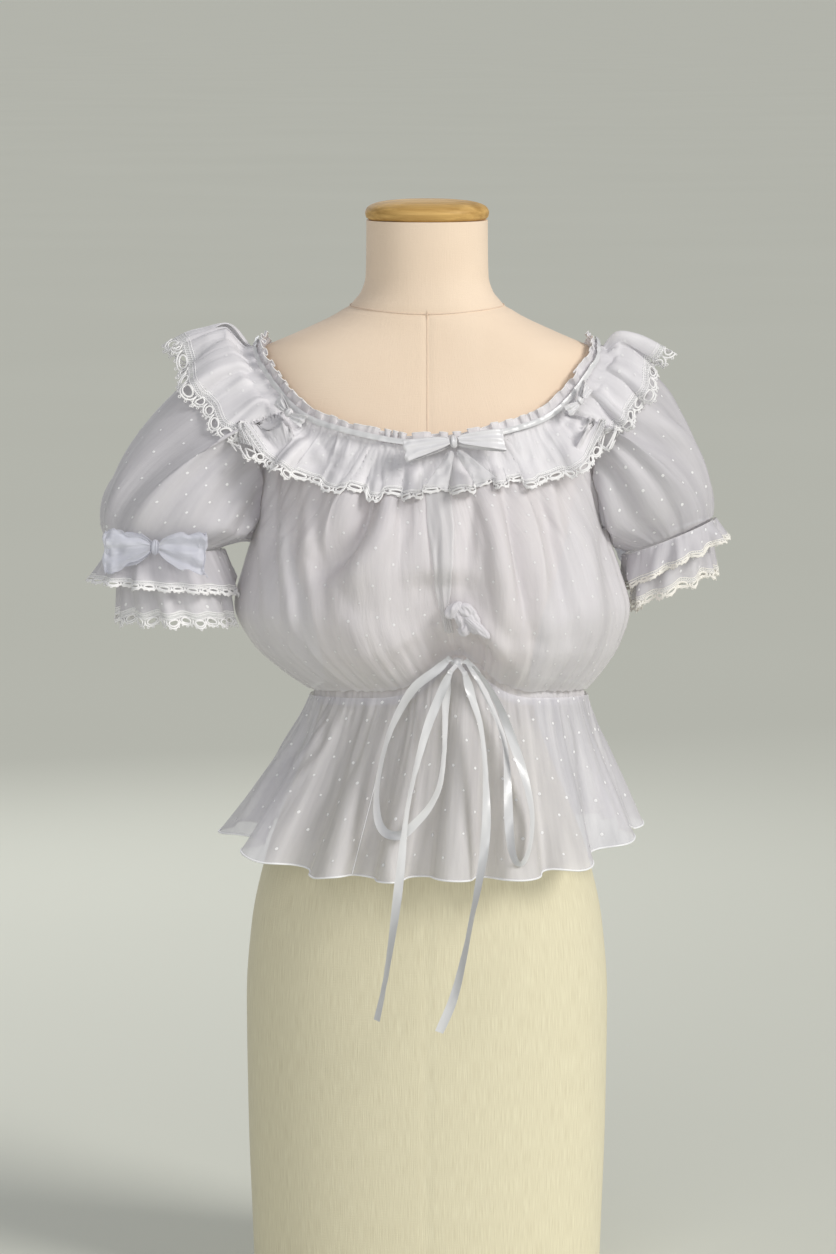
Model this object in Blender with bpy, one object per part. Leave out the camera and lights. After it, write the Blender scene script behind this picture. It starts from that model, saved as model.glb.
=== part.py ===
"""A peasant blouse of sheer dotted organza, worn by a limbless dress form.

Metres, +Z up. The front faces -Y, and angles run from the front (0) through +X (90 degrees) round the
back. The origin is the centre of the form's flat underside. Each piece that is cut and sewn is one object.
"""

import math

import bpy
import numpy as np

# Driving dimensions
SHARP = math.radians(50)
CLOTH = 0.0012          # wall of the gathered cloth, its fine pleats included
RIBBON = 0.0010         # wall of the satin ribbon
SEAM = 0.0008           # free space left along each sewn edge
EASE = 0.0022           # how far the blouse lies off the form where it rests on it
FRILL_LIFT = 0.0056     # how far the neck frills lie off the form
RIBBON_LIFT = 0.0140    # how far the neck ribbon lies off the form
SIDE_EASE = 0.0050      # how far the sleeves' lower ends hang off the bodice
ROUNDNESS = 2.15        # exponent of the oval sections, 2 being an ellipse

NECK_FRONT = 0.815      # height of the neck seam at the centre front
NECK_BACK = 0.840       # and at the centre back
NECK_CURVE = 0.028      # how much of its rise is a gentle curve
NECK_SHOULDER = 0.902   # and where it passes over the end of the shoulder
NECK_TURN = 14          # how sharply the neck seam turns up to the shoulder
FRONT_REACH = 62.0      # angle where the front raglan seams leave the neck seam
BACK_REACH = 60.0       # the same, measured from the centre back
UNDERARM = 0.44         # share of the way from neck to waist where the armholes end
WAIST = 0.577           # height of the waist seam at the sides
WAIST_RISE = 0.010      # how much higher it lies at the front
WAIST_PULL = 0.034      # how far the drawstring pulls it up at the knot
PULL_IN = 0.016         # how much flatter the bodice lies above the knot
PULL_ANGLE = 4.0        # angle of the knot
PULL_WIDTH = 13.0       # half-width of the pulled stretch, in degrees
CASING = 0.009          # height of the waist casing

HEADING = 0.017         # height of the frill that stands above the neck ribbon
NECK_BAND = 0.0075      # width of the neck ribbon
BAND_RISE = 0.0040      # how far its middle lies above the neck seam
NECK_REACH = 89.0       # how far each half of the ruffle reaches from its middle, in degrees
SIDE_REACH = 89.7       # the same for the peplum
NECK_SPREAD = 72.0      # how strongly its columns crowd towards the shoulders, in degrees
LACE_SHARE = 0.24       # share of a ruffle's depth that is its lace edging

# The form's horizontal sections
FORM_COLUMNS = ("height", "half_width", "front", "back")
FORM_SECTIONS = (
    (0.000, 0.1665, 0.110, 0.122),
    (0.060, 0.1685, 0.112, 0.124),
    (0.160, 0.1720, 0.114, 0.128),
    (0.280, 0.1735, 0.116, 0.132),
    (0.350, 0.1685, 0.114, 0.128),
    (0.420, 0.1535, 0.108, 0.116),
    (0.490, 0.1270, 0.098, 0.098),
    (0.545, 0.1060, 0.088, 0.084),
    (0.585, 0.0985, 0.084, 0.078),
    (0.640, 0.1080, 0.092, 0.082),
    (0.700, 0.1270, 0.108, 0.090),
    (0.755, 0.1400, 0.121, 0.096),
    (0.800, 0.1500, 0.114, 0.100),
    (0.840, 0.1580, 0.097, 0.098),
    (0.874, 0.1630, 0.081, 0.088),
    (0.892, 0.1615, 0.074, 0.080),
    (0.903, 0.1560, 0.070, 0.075),
    (0.919, 0.1215, 0.065, 0.068),
    (0.936, 0.0860, 0.061, 0.062),
    (0.9475, 0.0705, 0.0585, 0.059),
    (0.957, 0.0625, 0.057, 0.057),
    (0.972, 0.0582, 0.0555, 0.0555),
    (1.000, 0.0576, 0.0550, 0.0550),
    (1.0245, 0.0575, 0.0545, 0.0545),
)

# The turned neck cap, as shares of the neck's half-width
CAP_COLUMNS = ("height", "share")
CAP_PROFILE = (
    (1.0250, 0.960),
    (1.0275, 1.005),
    (1.0320, 1.020),
    (1.0365, 0.985),
    (1.0400, 0.880),
    (1.0425, 0.690),
    (1.0440, 0.420),
)

# The bodice's sections, from the neck seam (way 0) to the waist seam (way 1)
BODICE_COLUMNS = ("way", "height", "centre", "half_width", "front", "back")
BODICE_SECTIONS = (
    (0.00, 0.815, 0.000, 0.1590, 0.110, 0.101),
    (0.14, 0.785, 0.000, 0.1590, 0.1235, 0.110),
    (0.30, 0.757, 0.002, 0.1620, 0.134, 0.118),
    (0.44, 0.730, 0.003, 0.1680, 0.143, 0.124),
    (0.60, 0.692, 0.004, 0.1800, 0.150, 0.129),
    (0.72, 0.658, 0.005, 0.1885, 0.153, 0.131),
    (0.84, 0.622, 0.009, 0.1750, 0.145, 0.125),
    (0.93, 0.596, 0.015, 0.1530, 0.126, 0.110),
    (1.00, 0.577, 0.021, 0.1310, 0.104, 0.094),
)

# Soft folds of the bodice: ridges have a positive depth and troughs a negative one
FOLD_COLUMNS = ("angle", "width", "depth", "start", "end")
BODICE_FOLDS = (
    (-66, 5.0, -0.0050, 0.05, 0.80),
    (-52, 5.0, 0.0050, 0.10, 0.95),
    (-38, 4.5, -0.0060, 0.12, 0.62),
    (-24, 6.0, 0.0040, 0.20, 0.98),
    (-12, 3.0, -0.0050, 0.10, 0.85),
    (16, 3.5, -0.0055, 0.15, 0.98),
    (27, 5.0, 0.0050, 0.10, 0.80),
    (41, 4.0, -0.0065, 0.10, 0.75),
    (56, 5.0, 0.0050, 0.15, 0.98),
    (70, 4.5, -0.0045, 0.30, 0.95),
    (112, 6.0, 0.0050, 0.20, 0.98),
    (130, 5.0, -0.0060, 0.05, 0.80),
    (150, 6.0, 0.0050, 0.10, 0.95),
    (168, 5.0, -0.0050, 0.15, 0.90),
    (188, 6.0, 0.0050, 0.05, 0.98),
    (207, 5.0, -0.0060, 0.10, 0.70),
    (226, 6.0, 0.0050, 0.20, 0.95),
    (246, 5.0, -0.0050, 0.10, 0.85),
)

# The neck ruffle: how far it stands out, falls and arches, by the angle from the front
RUFFLE_COLUMNS = ("turn", "out", "fall", "arch")
RUFFLE_SHAPE = (
    (-180, 0.022, 0.048, 0.000),
    (-130, 0.042, 0.052, 0.006),
    (-105, 0.068, 0.044, 0.020),
    (-90, 0.086, 0.022, 0.032),
    (-75, 0.068, 0.042, 0.020),
    (-60, 0.052, 0.046, 0.012),
    (-40, 0.024, 0.048, 0.000),
    (0, 0.016, 0.040, 0.000),
    (40, 0.020, 0.044, 0.000),
    (60, 0.034, 0.046, 0.006),
    (75, 0.050, 0.042, 0.014),
    (90, 0.064, 0.026, 0.024),
    (105, 0.054, 0.044, 0.014),
    (130, 0.036, 0.050, 0.005),
    (180, 0.022, 0.048, 0.000),
)

# The peplum's flutes at the hem
FLUTE_COLUMNS = ("angle", "width", "depth")
PEPLUM_FLUTES = (
    (-84, 7.0, 0.034),
    (-58, 6.5, 0.032),
    (-36, 6.0, 0.027),
    (-14, 6.0, 0.024),
    (8, 6.0, 0.022),
    (29, 6.5, 0.027),
    (51, 6.5, 0.030),
    (72, 6.0, 0.028),
    (93, 6.5, 0.033),
    (118, 7.5, 0.029),
    (143, 7.5, 0.027),
    (167, 7.0, 0.028),
    (191, 7.5, 0.025),
    (216, 7.5, 0.029),
    (244, 7.5, 0.030),
)
FLUTE_DROP = 0.35       # how much lower the hem hangs on a flute, as a share of its depth
HEM_CENTRE = 0.003      # how far the hem's middle lies to the side
HEM_HALF_WIDTH = 0.165  # the hem's reach between its flutes
HEM_FRONT_DEPTH = 0.141
HEM_BACK_DEPTH = 0.141
HEM_FRONT = 0.424       # height of the hem at the front
HEM_SIDE = 0.452        # and at the sides
HEM_BACK = 0.436        # and at the back

# The sleeves: where each cuff is, how far its outer side rises, how its frills hang, and their reach
SLEEVE_COLUMNS = (
    "side", "cuff_x", "cuff_y", "cuff_z", "tilt", "hang_in", "cuff_radius",
    "start_out", "puff_out", "puff_up", "upper_tier", "lower_tier", "flare", "bow_angle",
)
SLEEVES = {
    "left": (-1, -0.246, -0.026, 0.716, 0.02, 0.26, 0.050, 0.075, 0.050, 0.034, 0.044, 0.074, 1.0, 84.0),
    "right": (1, 0.232, 0.024, 0.722, 0.40, 0.06, 0.044, 0.062, 0.026, 0.044, 0.034, 0.054, 0.4, -96.0),
}
CUFF_FRONT = 0.05       # how far a cuff's front side drops, as a slope
FRILL_FLARE = 0.013     # how far a cuff's frill spreads
FRILL_FOLD = 0.006      # depth of its waves
UPPER_FLARE = 0.013     # how much more its upper frill does
UNDERARM_LIFT = 0.0034  # how far the sleeve lies over the bodice at the underarm
CHANNEL_LIFT = 0.0032   # how far the front channel lies off the bodice
SKIN_REACH = 0.030      # how near a skin has to be to move a point that lies over it
RUFFLE_GAP = 0.0056     # how far the neck ruffle lies over the sleeves
LACE_GAP = 0.0072       # and its lace edging
TIER_GAP = 0.0045       # how far the upper frill stands off the lower one
CUFF_BAND = 0.008       # height of a cuff band
SHOULDER_SPAN = 52.0    # half-angle of the cuff's round that hangs from the neck seam
PUFF = {"width": 0.072, "depth": 0.018}   # the gathered puff at the channel's foot
PUFF_SPREAD = 3.6       # and how much wider than a bow's knot it is
PUFF_OFFSET = (0.002, -0.0132, 0.008)
WAIST_KNOT = {"width": 0.022, "depth": 0.018}
WAIST_KNOT_LIFT = 0.013
ACROSS = np.array([1.0, 0.0, 0.0])
AHEAD = np.array([0.0, -1.0, 0.0])
SKY = np.array([0.0, 0.0, 1.0])

# The waist drawstring's runs: X across, Z up, and how far each point lies in front of the peplum
RIBBON_WIDTH = 0.0085
RUN_COLUMNS = ("x", "z", "lift")
WAIST_RUNS = {
    "waist_loop_left": (
        (0.0215, 0.623, 0.007), (0.010, 0.612, 0.010), (-0.011, 0.596, 0.012), (-0.026, 0.572, 0.012),
        (-0.036, 0.550, 0.012), (-0.044, 0.520, 0.012), (-0.0475, 0.495, 0.012), (-0.0460, 0.474, 0.012),
        (-0.0370, 0.462, 0.013), (-0.0250, 0.461, 0.015), (-0.0140, 0.470, 0.017), (0.0020, 0.487, 0.019),
        (0.0120, 0.508, 0.020), (0.0160, 0.540, 0.021), (0.0170, 0.575, 0.020), (0.0195, 0.607, 0.017),
    ),
    "waist_loop_right": (
        (0.0355, 0.621, 0.008), (0.045, 0.610, 0.010), (0.056, 0.585, 0.011), (0.067, 0.560, 0.012),
        (0.073, 0.540, 0.012), (0.075, 0.505, 0.012), (0.076, 0.470, 0.012), (0.079, 0.444, 0.012),
        (0.086, 0.432, 0.013), (0.094, 0.444, 0.015), (0.098, 0.475, 0.017), (0.093, 0.505, 0.019),
        (0.080, 0.545, 0.021), (0.066, 0.580, 0.021), (0.052, 0.604, 0.019), (0.0420, 0.616, 0.016),
    ),
    "waist_tail_left": (
        (0.0220, 0.613, 0.024), (0.012, 0.590, 0.026), (0.000, 0.560, 0.027), (-0.010, 0.525, 0.027),
        (-0.018, 0.490, 0.026), (-0.0215, 0.464, 0.024), (-0.0245, 0.435, 0.020), (-0.0285, 0.400, 0.018),
        (-0.0340, 0.360, 0.018), (-0.0405, 0.320, 0.018), (-0.0470, 0.290, 0.018),
    ),
    "waist_tail_right": (
        (0.0345, 0.612, 0.024), (0.041, 0.590, 0.026), (0.050, 0.560, 0.028), (0.054, 0.520, 0.028),
        (0.055, 0.480, 0.026), (0.053, 0.450, 0.022), (0.049, 0.425, 0.018), (0.042, 0.390, 0.018),
        (0.034, 0.350, 0.018), (0.024, 0.310, 0.018), (0.011, 0.279, 0.018),
    ),
}

# Bows tied in a wide ribbon: where each sits on its seam and the size of its loops
BOW_COLUMNS = ("angle", "reach", "width", "depth", "droop", "tail")
NECK_BOWS = {
    "neck_bow": (12.0, 0.047, 0.021, 0.012, 0.004, 0.044),
    "side_bow_left": (-60.0, 0.019, 0.012, 0.008, -0.003, 0.0),
    "side_bow_right": (66.0, 0.018, 0.012, 0.008, -0.003, 0.0),
}
SLEEVE_BOW = (0.0, 0.048, 0.027, 0.013, 0.006, 0.0)


def clear_scene():
    for thing in list(bpy.data.objects):
        bpy.data.objects.remove(thing, do_unlink=True)


def material(name, colour, roughness, metallic=0.0):
    made = bpy.data.materials.new(name)
    made.use_nodes = True
    shader = made.node_tree.nodes["Principled BSDF"]
    shader.inputs["Base Color"].default_value = (*colour, 1.0)
    shader.inputs["Roughness"].default_value = roughness
    shader.inputs["Metallic"].default_value = metallic
    return made


def column(rows, names, name):
    place = names.index(name)
    return np.array([row[place] for row in rows], float)


def smooth(at, places, values):
    """A monotone cubic through the rows of a table, so that it never bulges past them."""
    at = np.clip(np.asarray(at, float), places[0], places[-1])
    step = np.diff(places)
    rise = np.diff(values) / step
    slope = np.zeros(len(places))
    slope[0] = rise[0]
    slope[-1] = rise[-1]
    same_way = rise[:-1] * rise[1:] > 0
    slope[1:-1][same_way] = 2 * (rise[:-1] * rise[1:])[same_way] / (rise[:-1] + rise[1:])[same_way]
    row = np.clip(np.searchsorted(places, at, side="right") - 1, 0, len(places) - 2)
    share = (at - places[row]) / step[row]
    stay = 2 * share**3 - 3 * share**2 + 1
    leave = share**3 - 2 * share**2 + share
    arrive = share**3 - share**2
    turn = step[row] * (leave * slope[row] + arrive * slope[row + 1])
    return stay * values[row] + (1 - stay) * values[row + 1] + turn


def along(rows, names, name, at):
    return smooth(at, column(rows, names, names[0]), column(rows, names, name))


def ramp(value, low, high):
    share = np.clip((np.asarray(value, float) - low) / (high - low), 0, 1)
    return share * share * (3 - 2 * share)


def unit(vectors):
    return vectors / np.linalg.norm(vectors, axis=-1, keepdims=True)


def oval(angle, half_width, front, back):
    """The distance from the centre to a rounded oval, towards each angle in radians."""
    depth = np.where(np.cos(angle) > 0, front, back)
    across = np.abs(np.sin(angle) / half_width) ** ROUNDNESS
    deep = np.abs(np.cos(angle) / depth) ** ROUNDNESS
    return (across + deep) ** (-1 / ROUNDNESS)


def point(angle, radius, height, centre=0.0):
    x = centre + radius * np.sin(angle)
    y = -radius * np.cos(angle)
    return np.stack(np.broadcast_arrays(x, y, height), axis=-1)


def form_radius(height, angle):
    half_width = along(FORM_SECTIONS, FORM_COLUMNS, "half_width", height)
    front = along(FORM_SECTIONS, FORM_COLUMNS, "front", height)
    back = along(FORM_SECTIONS, FORM_COLUMNS, "back", height)
    return oval(angle, half_width, front, back)


def off_form(points, ease):
    """Moves any point that would lie within ease of the form straight out from its axis."""
    angle = np.arctan2(points[..., 0], -points[..., 1])
    radius = np.hypot(points[..., 0], points[..., 1])
    least = form_radius(points[..., 2], angle) + ease
    return point(angle, np.maximum(radius, least), points[..., 2])


def neck_height(angle):
    low = np.where(np.cos(angle) > 0, NECK_FRONT, NECK_BACK)
    side = np.abs(np.sin(angle))
    return low + NECK_CURVE * side**2 + (NECK_SHOULDER - NECK_CURVE - low) * side**NECK_TURN


def neck_ring(angle):
    """The neck seam on the form's surface, with its outward normal and the way up across the seam."""
    small = 0.004
    height = neck_height(angle)
    radius = form_radius(height, angle)
    here = point(angle, radius, height)
    turned = point(angle + small, form_radius(height, angle + small), height)
    raised = point(angle, form_radius(height + small, angle), height + small)
    outward = unit(np.cross(turned - here, raised - here))
    next_height = neck_height(angle + small)
    run = unit(point(angle + small, form_radius(next_height, angle + small), next_height) - here)
    upward = unit(np.cross(outward, run))
    return here, outward, -upward if np.mean(upward[..., 2]) < 0 else upward


def waist_height(angle):
    degrees = np.degrees((angle + np.pi) % (2 * np.pi) - np.pi)
    pull = np.exp(-0.5 * ((degrees - PULL_ANGLE) / PULL_WIDTH) ** 2)
    return WAIST + WAIST_RISE * np.maximum(np.cos(angle), 0) + WAIST_PULL * pull


def ridges(angle, rows, names):
    """The sum of the soft ridges of a table at each angle, as (total, one row's share) pairs."""
    for row in rows:
        values = dict(zip(names, row))
        off = (np.degrees(angle) - values["angle"] + 180) % 360 - 180
        yield values, np.exp(-0.5 * (off / values["width"]) ** 2)


def bodice_folds(angle, way):
    lift = np.zeros(np.broadcast(angle, way).shape)
    for values, share in ridges(angle, BODICE_FOLDS, FOLD_COLUMNS):
        reach = np.clip((way - values["start"]) / (values["end"] - values["start"]), 0, 1)
        lift = lift + values["depth"] * share * np.sin(np.pi * reach)
    return lift


def off_bodice(points, ease):
    """Moves any point that would lie within ease of the blouse's body straight out from its middle."""
    heights = column(BODICE_SECTIONS, BODICE_COLUMNS, "height")[::-1]
    ways = column(BODICE_SECTIONS, BODICE_COLUMNS, "way")[::-1]
    way = smooth(points[..., 2], heights, ways)
    centre = along(BODICE_SECTIONS, BODICE_COLUMNS, "centre", way)
    angle = np.arctan2(points[..., 0] - centre, -points[..., 1])
    radius = np.hypot(points[..., 0] - centre, points[..., 1])
    skin = bodice_section(angle, way)
    least = np.hypot(skin[..., 0] - centre, skin[..., 1]) + ease
    return point(angle, np.maximum(radius, least), points[..., 2], centre)


def bodice_point(angle, way):
    """The blouse's body between the neck seam (way 0) and the waist seam (way 1)."""
    seam = bodice_section(angle, way)
    start = off_form(bodice_section(angle, 0 * way), EASE)
    neck, outward, _ = neck_ring(angle + 0 * way)
    shift = (neck + outward * EASE - start) * (1 - ramp(way, 0.0, 0.42))[..., None]
    return off_form(seam + shift, EASE)


def bodice_section(angle, way):
    height, centre, half_width, front, back = (
        along(BODICE_SECTIONS, BODICE_COLUMNS, name, way) for name in BODICE_COLUMNS[1:]
    )
    radius = oval(angle, half_width, front, back) + bodice_folds(angle, way)
    pulled = (waist_height(angle) - WAIST) / (WAIST_RISE + WAIST_PULL)
    radius = radius - PULL_IN * pulled**2 * np.sin(np.pi * np.clip((way - 0.5) / 0.5, 0, 1))
    height = height + (waist_height(angle) - WAIST) * ramp(way, 0.45, 1.0)
    return point(angle, radius, height, centre)


def armhole(side, cuff_angle):
    """The points of one armhole that belong to angles round the cuff: 0 is outermost and 90 the front."""
    fore = np.where(cuff_angle >= 0, 1, -1)
    turn = np.abs(cuff_angle)
    reach = np.where(fore > 0, FRONT_REACH, 180 - BACK_REACH)
    neck_angle = 90 + (reach - 90) * np.clip(turn / SHOULDER_SPAN, 0, 1)
    way = UNDERARM * np.clip((turn - SHOULDER_SPAN) / (180 - SHOULDER_SPAN), 0, 1) ** 0.9
    angle = np.radians(np.where(turn < SHOULDER_SPAN, neck_angle, seam_angle(way, fore)))
    lift = UNDERARM_LIFT * ramp(turn, 80, 140)
    return bodice_point(side * angle, way) + point(side * angle, lift, 0.0)


def seam_angle(way, fore):
    """The angle of the raglan seam (above the underarm) or the side seam (below it), in degrees."""
    share = np.clip(way / UNDERARM, 0, 1) ** 0.8
    front = FRONT_REACH + (90 - FRONT_REACH) * share
    back = 180 - BACK_REACH + (90 - 180 + BACK_REACH) * share
    return np.where(fore > 0, front, back)


def cuff_frame(row):
    """The cuff's centre, its axis down the arm, and its directions outwards and to the front."""
    centre = np.array([row["cuff_x"], row["cuff_y"], row["cuff_z"]])
    axis = unit(np.array([row["side"] * row["tilt"], -CUFF_FRONT, -1.0]))
    out = unit(np.cross(np.array([0, -1.0, 0]), axis) * row["side"])
    front = unit(np.cross(out, axis) * row["side"])
    return centre, axis, out * np.sign(out[0] * row["side"]), front * np.sign(-front[1])


def cuff_ring(row, angle, radius, drop):
    """A ring round the cuff, dropped along the way its frills hang, and the way each point faces."""
    centre, _, out, front = cuff_frame(row)
    hang = unit(np.array([-row["side"] * row["hang_in"], 0.0, -1.0]))
    turn = np.cos(angle)[..., None] * out + np.sin(angle)[..., None] * front
    return centre + turn * np.asarray(radius)[..., None] + hang * np.asarray(drop)[..., None], turn


def lift_off(points, skin, gap, passes=3):
    """Moves each point that would lie within gap of a skin out along the skin's nearest normal."""
    down = np.gradient(skin, axis=0)
    across = np.gradient(skin, axis=1)
    normal = np.cross(down, across)
    normal = normal / (np.linalg.norm(normal, axis=-1, keepdims=True) + 1e-12)
    middle = skin.mean(axis=(0, 1))
    normal = normal * np.sign(((skin - middle) * normal).sum(axis=-1).mean())
    places, facing = skin.reshape(-1, 3), normal.reshape(-1, 3)
    moved = points.reshape(-1, 3).copy()
    for _ in range(passes):
        apart = np.linalg.norm(moved[:, None] - places[None], axis=-1)
        nearest = apart.argmin(axis=1)
        above = ((moved - places[nearest]) * facing[nearest]).sum(axis=1)
        short = np.where(apart.min(axis=1) < SKIN_REACH, np.maximum(gap - above, 0), 0)
        moved = moved + facing[nearest] * short[:, None]
    return moved.reshape(points.shape)


def sleeve_skin(row):
    turn, way = grid(np.arange(-180, 181, 6), np.linspace(0, 1, 25))
    return sleeve_point(row, turn, way)


def sleeve_point(row, cuff_angle, way):
    """The puff sleeve between its armhole (way 0) and its cuff (way 1), a Bezier along each rib."""
    axis = cuff_frame(row)[1]
    start = armhole(row["side"], cuff_angle)
    angle = np.radians(cuff_angle)
    end, turn = cuff_ring(row, angle, np.full(angle.shape, row["cuff_radius"]), np.zeros(angle.shape))
    outer = 0.5 + 0.5 * np.cos(angle)
    fore = np.sin(angle)
    leave = np.stack(
        [
            row["side"] * (0.022 + (row["start_out"] - 0.022) * outer**1.2),
            -0.034 * fore * (1 - 0.45 * outer),
            -0.014 * (1 - outer) - 0.004,
        ],
        axis=-1,
    )
    swell = 0.006 + (row["puff_out"] - 0.006) * outer + 0.026 * np.abs(fore)
    rise = 0.012 + (row["puff_up"] - 0.012) * (0.25 + 0.75 * outer)
    bulge = end + turn * swell[..., None] - axis * rise[..., None]
    share = np.asarray(way)[..., None]
    ribs = (
        (1 - share) ** 3 * start
        + 3 * (1 - share) ** 2 * share * (start + leave)
        + 3 * (1 - share) * share**2 * bulge
        + share**3 * end
    )
    pleat = 0.0030 * np.cos(12 * angle + 0.7 * np.sin(3 * angle)) * np.sin(np.pi * np.asarray(way))
    hung = off_form(ribs + turn * pleat[..., None], 2 * EASE)
    return off_bodice(hung, SIDE_EASE * ramp(way, 0.0, 0.35) - 0.02 * (1 - ramp(way, 0.0, 0.12)))


def ruffle_point(angle, way):
    """The neck ruffle, falling from the neck seam (way 0) to its lace edge (way 1)."""
    here, outward, _ = neck_ring(angle)
    turned = (np.degrees(angle) + 180) % 360 - 180
    reach, fall, arch = (along(RUFFLE_SHAPE, RUFFLE_COLUMNS, name, turned) for name in RUFFLE_COLUMNS[1:])
    waves = 13 * angle + 0.9 * np.sin(2 * angle + 0.4) + 0.5 * np.sin(5 * angle)
    fold = 0.0070 * way * (0.5 + 0.5 * np.cos(waves))
    side = np.abs(np.sin(angle)) ** 4
    rise = arch * np.sin(0.82 * np.pi * way) * ramp(way, 0.12, 0.5) - (0.0012 + fall * way)
    start = here + outward * FRILL_LIFT
    return start + point(angle, reach * way**1.5 + fold * (1 - 0.6 * side), rise + 0.8 * side * fold)


def neck_turns(middle, count):
    """Angles across one half of the neck, closest together where the seam turns up over the shoulders."""
    spread = np.sin(np.linspace(-1, 1, count) * math.radians(NECK_SPREAD))
    return np.radians(middle + NECK_REACH * spread / spread[-1])


def heading_point(angle, way):
    here, outward, upward = neck_ring(angle)
    waves = 17 * angle + 0.8 * np.sin(3 * angle + 1.0)
    lift = FRILL_LIFT + way * (0.0010 + 0.0024 * np.cos(waves))
    rise = 0.0012 + (HEADING - 0.0022 + 0.0018 * np.cos(waves + 0.8)) * way
    return here + outward * lift[..., None] + upward * rise[..., None]


def band_point(angle, way):
    here, outward, upward = neck_ring(angle)
    return here + outward * RIBBON_LIFT + upward * (BAND_RISE + NECK_BAND * (0.5 - way))[..., None]


def casing_point(angle, way):
    """The waist casing, a narrow band round the waist seam."""
    section = {name: BODICE_SECTIONS[-1][i] for i, name in enumerate(BODICE_COLUMNS)}
    radius = oval(angle, section["half_width"], section["front"], section["back"]) - 0.001
    return point(angle, radius, waist_height(angle) - SEAM - CASING * way, section["centre"])


def hem_height(angle):
    side = np.abs(np.sin(angle)) ** 5
    rest = np.where(np.cos(angle) > 0, HEM_FRONT, HEM_BACK)
    return rest + (HEM_SIDE - rest) * side


def peplum_point(angle, way):
    """The peplum from under the waist casing (way 0) to its fluted hem (way 1)."""
    top = {name: BODICE_SECTIONS[-1][i] for i, name in enumerate(BODICE_COLUMNS)}
    start = oval(angle, top["half_width"], top["front"], top["back"]) - 0.001
    end = oval(angle, HEM_HALF_WIDTH, HEM_FRONT_DEPTH, HEM_BACK_DEPTH)
    flute = sum(values["depth"] * share for values, share in ridges(angle, PEPLUM_FLUTES, FLUTE_COLUMNS))
    flare = np.asarray(way) ** 0.88
    radius = start + (end - start) * flare + flute * np.asarray(way) ** 1.15
    high = waist_height(angle) - CASING - 2 * SEAM
    height = high + (hem_height(angle) - FLUTE_DROP * flute - high) * way
    centre = top["centre"] + (HEM_CENTRE - top["centre"]) * way
    return point(angle, radius, height, centre)


def tier_point(row, angle, way, lower):
    """One ruffle tier of a cuff: the lower one hangs under the band, the upper one stands over it."""
    length = row["lower_tier"] if lower else row["upper_tier"]
    waves = (9 if lower else 10) * angle + 0.6 * np.sin(2 * angle + row["side"])
    fold = (0.5 + 0.5 * np.cos(waves)) * way
    outer = 0.5 + 0.5 * np.cos(angle)
    spread = FRILL_FLARE * (0.3 + 0.7 * outer) + (0 if lower else UPPER_FLARE * outer)
    flare = row["flare"] * spread * way + FRILL_FOLD * fold * (0.4 + 0.6 * outer)
    if lower:
        drop = CUFF_BAND + 2 * SEAM + (length - CUFF_BAND) * way
    else:
        flare = flare + TIER_GAP
        drop = 0.0010 + (length - 0.010 * outer) * way
    points = cuff_ring(row, angle, row["cuff_radius"] + flare, drop)[0]
    return off_bodice(points, SIDE_EASE + (TIER_GAP if lower else 0))


def closed_wall(name, middle, thickness, finish, ring=False):
    """One closed cloth wall about a grid of middle points: rows run down it and columns across it."""
    rows, columns = middle.shape[:2]
    down = np.gradient(middle, axis=0)
    if ring:
        across = np.roll(middle, -1, axis=1) - np.roll(middle, 1, axis=1)
    else:
        across = np.gradient(middle, axis=1)
    normal = unit(np.cross(down, across))
    sides = [middle + normal * thickness / 2, middle - normal * thickness / 2]
    points = np.concatenate([side.reshape(-1, 3) for side in sides])

    def corner(side, row, place):
        return side * rows * columns + row * columns + place % columns

    spans = range(columns if ring else columns - 1)
    faces = []
    for row in range(rows - 1):
        for place in spans:
            quad = [(row, place), (row, place + 1), (row + 1, place + 1), (row + 1, place)]
            faces.append([corner(0, *at) for at in quad])
            faces.append([corner(1, *at) for at in reversed(quad)])
    for row, step in ((0, 1), (rows - 1, -1)):
        for place in spans:
            edge = [corner(0, row, place), corner(1, row, place)]
            edge += [corner(1, row, place + 1), corner(0, row, place + 1)]
            faces.append(edge[::step])
    if not ring:
        for place, step in ((0, -1), (columns - 1, 1)):
            for row in range(rows - 1):
                edge = [corner(0, row, place), corner(1, row, place)]
                edge += [corner(1, row + 1, place), corner(0, row + 1, place)]
                faces.append(edge[::step])
    return add_mesh(name, points, faces, finish)


def turned_solid(name, rings, finish):
    """A solid lofted through closed rings of points, with a flat face at each end."""
    count, columns = rings.shape[:2]
    faces = [[place for place in range(columns)][::-1]]
    for row in range(count - 1):
        for place in range(columns):
            beside = (place + 1) % columns
            low, high = row * columns, (row + 1) * columns
            faces.append([low + place, low + beside, high + beside, high + place])
    faces.append([(count - 1) * columns + place for place in range(columns)])
    return add_mesh(name, rings.reshape(-1, 3), faces, finish)


def add_mesh(name, points, faces, finish):
    mesh = bpy.data.meshes.new(name)
    mesh.from_pydata([tuple(map(float, at)) for at in points], [], faces)
    mesh.update()
    fans = [(face[0], face[k], face[k + 1]) for face in faces for k in range(1, len(face) - 1)]
    if np.linalg.det(np.asarray(points)[np.array(fans)]).sum() < 0:
        mesh.flip_normals()
    mesh.shade_smooth()
    mesh.set_sharp_from_angle(angle=SHARP)
    mesh.materials.append(finish)
    made = bpy.data.objects.new(name, mesh)
    bpy.context.scene.collection.objects.link(made)
    return made


def grid(angles, ways):
    return np.meshgrid(np.asarray(angles, float), np.asarray(ways, float))


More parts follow.
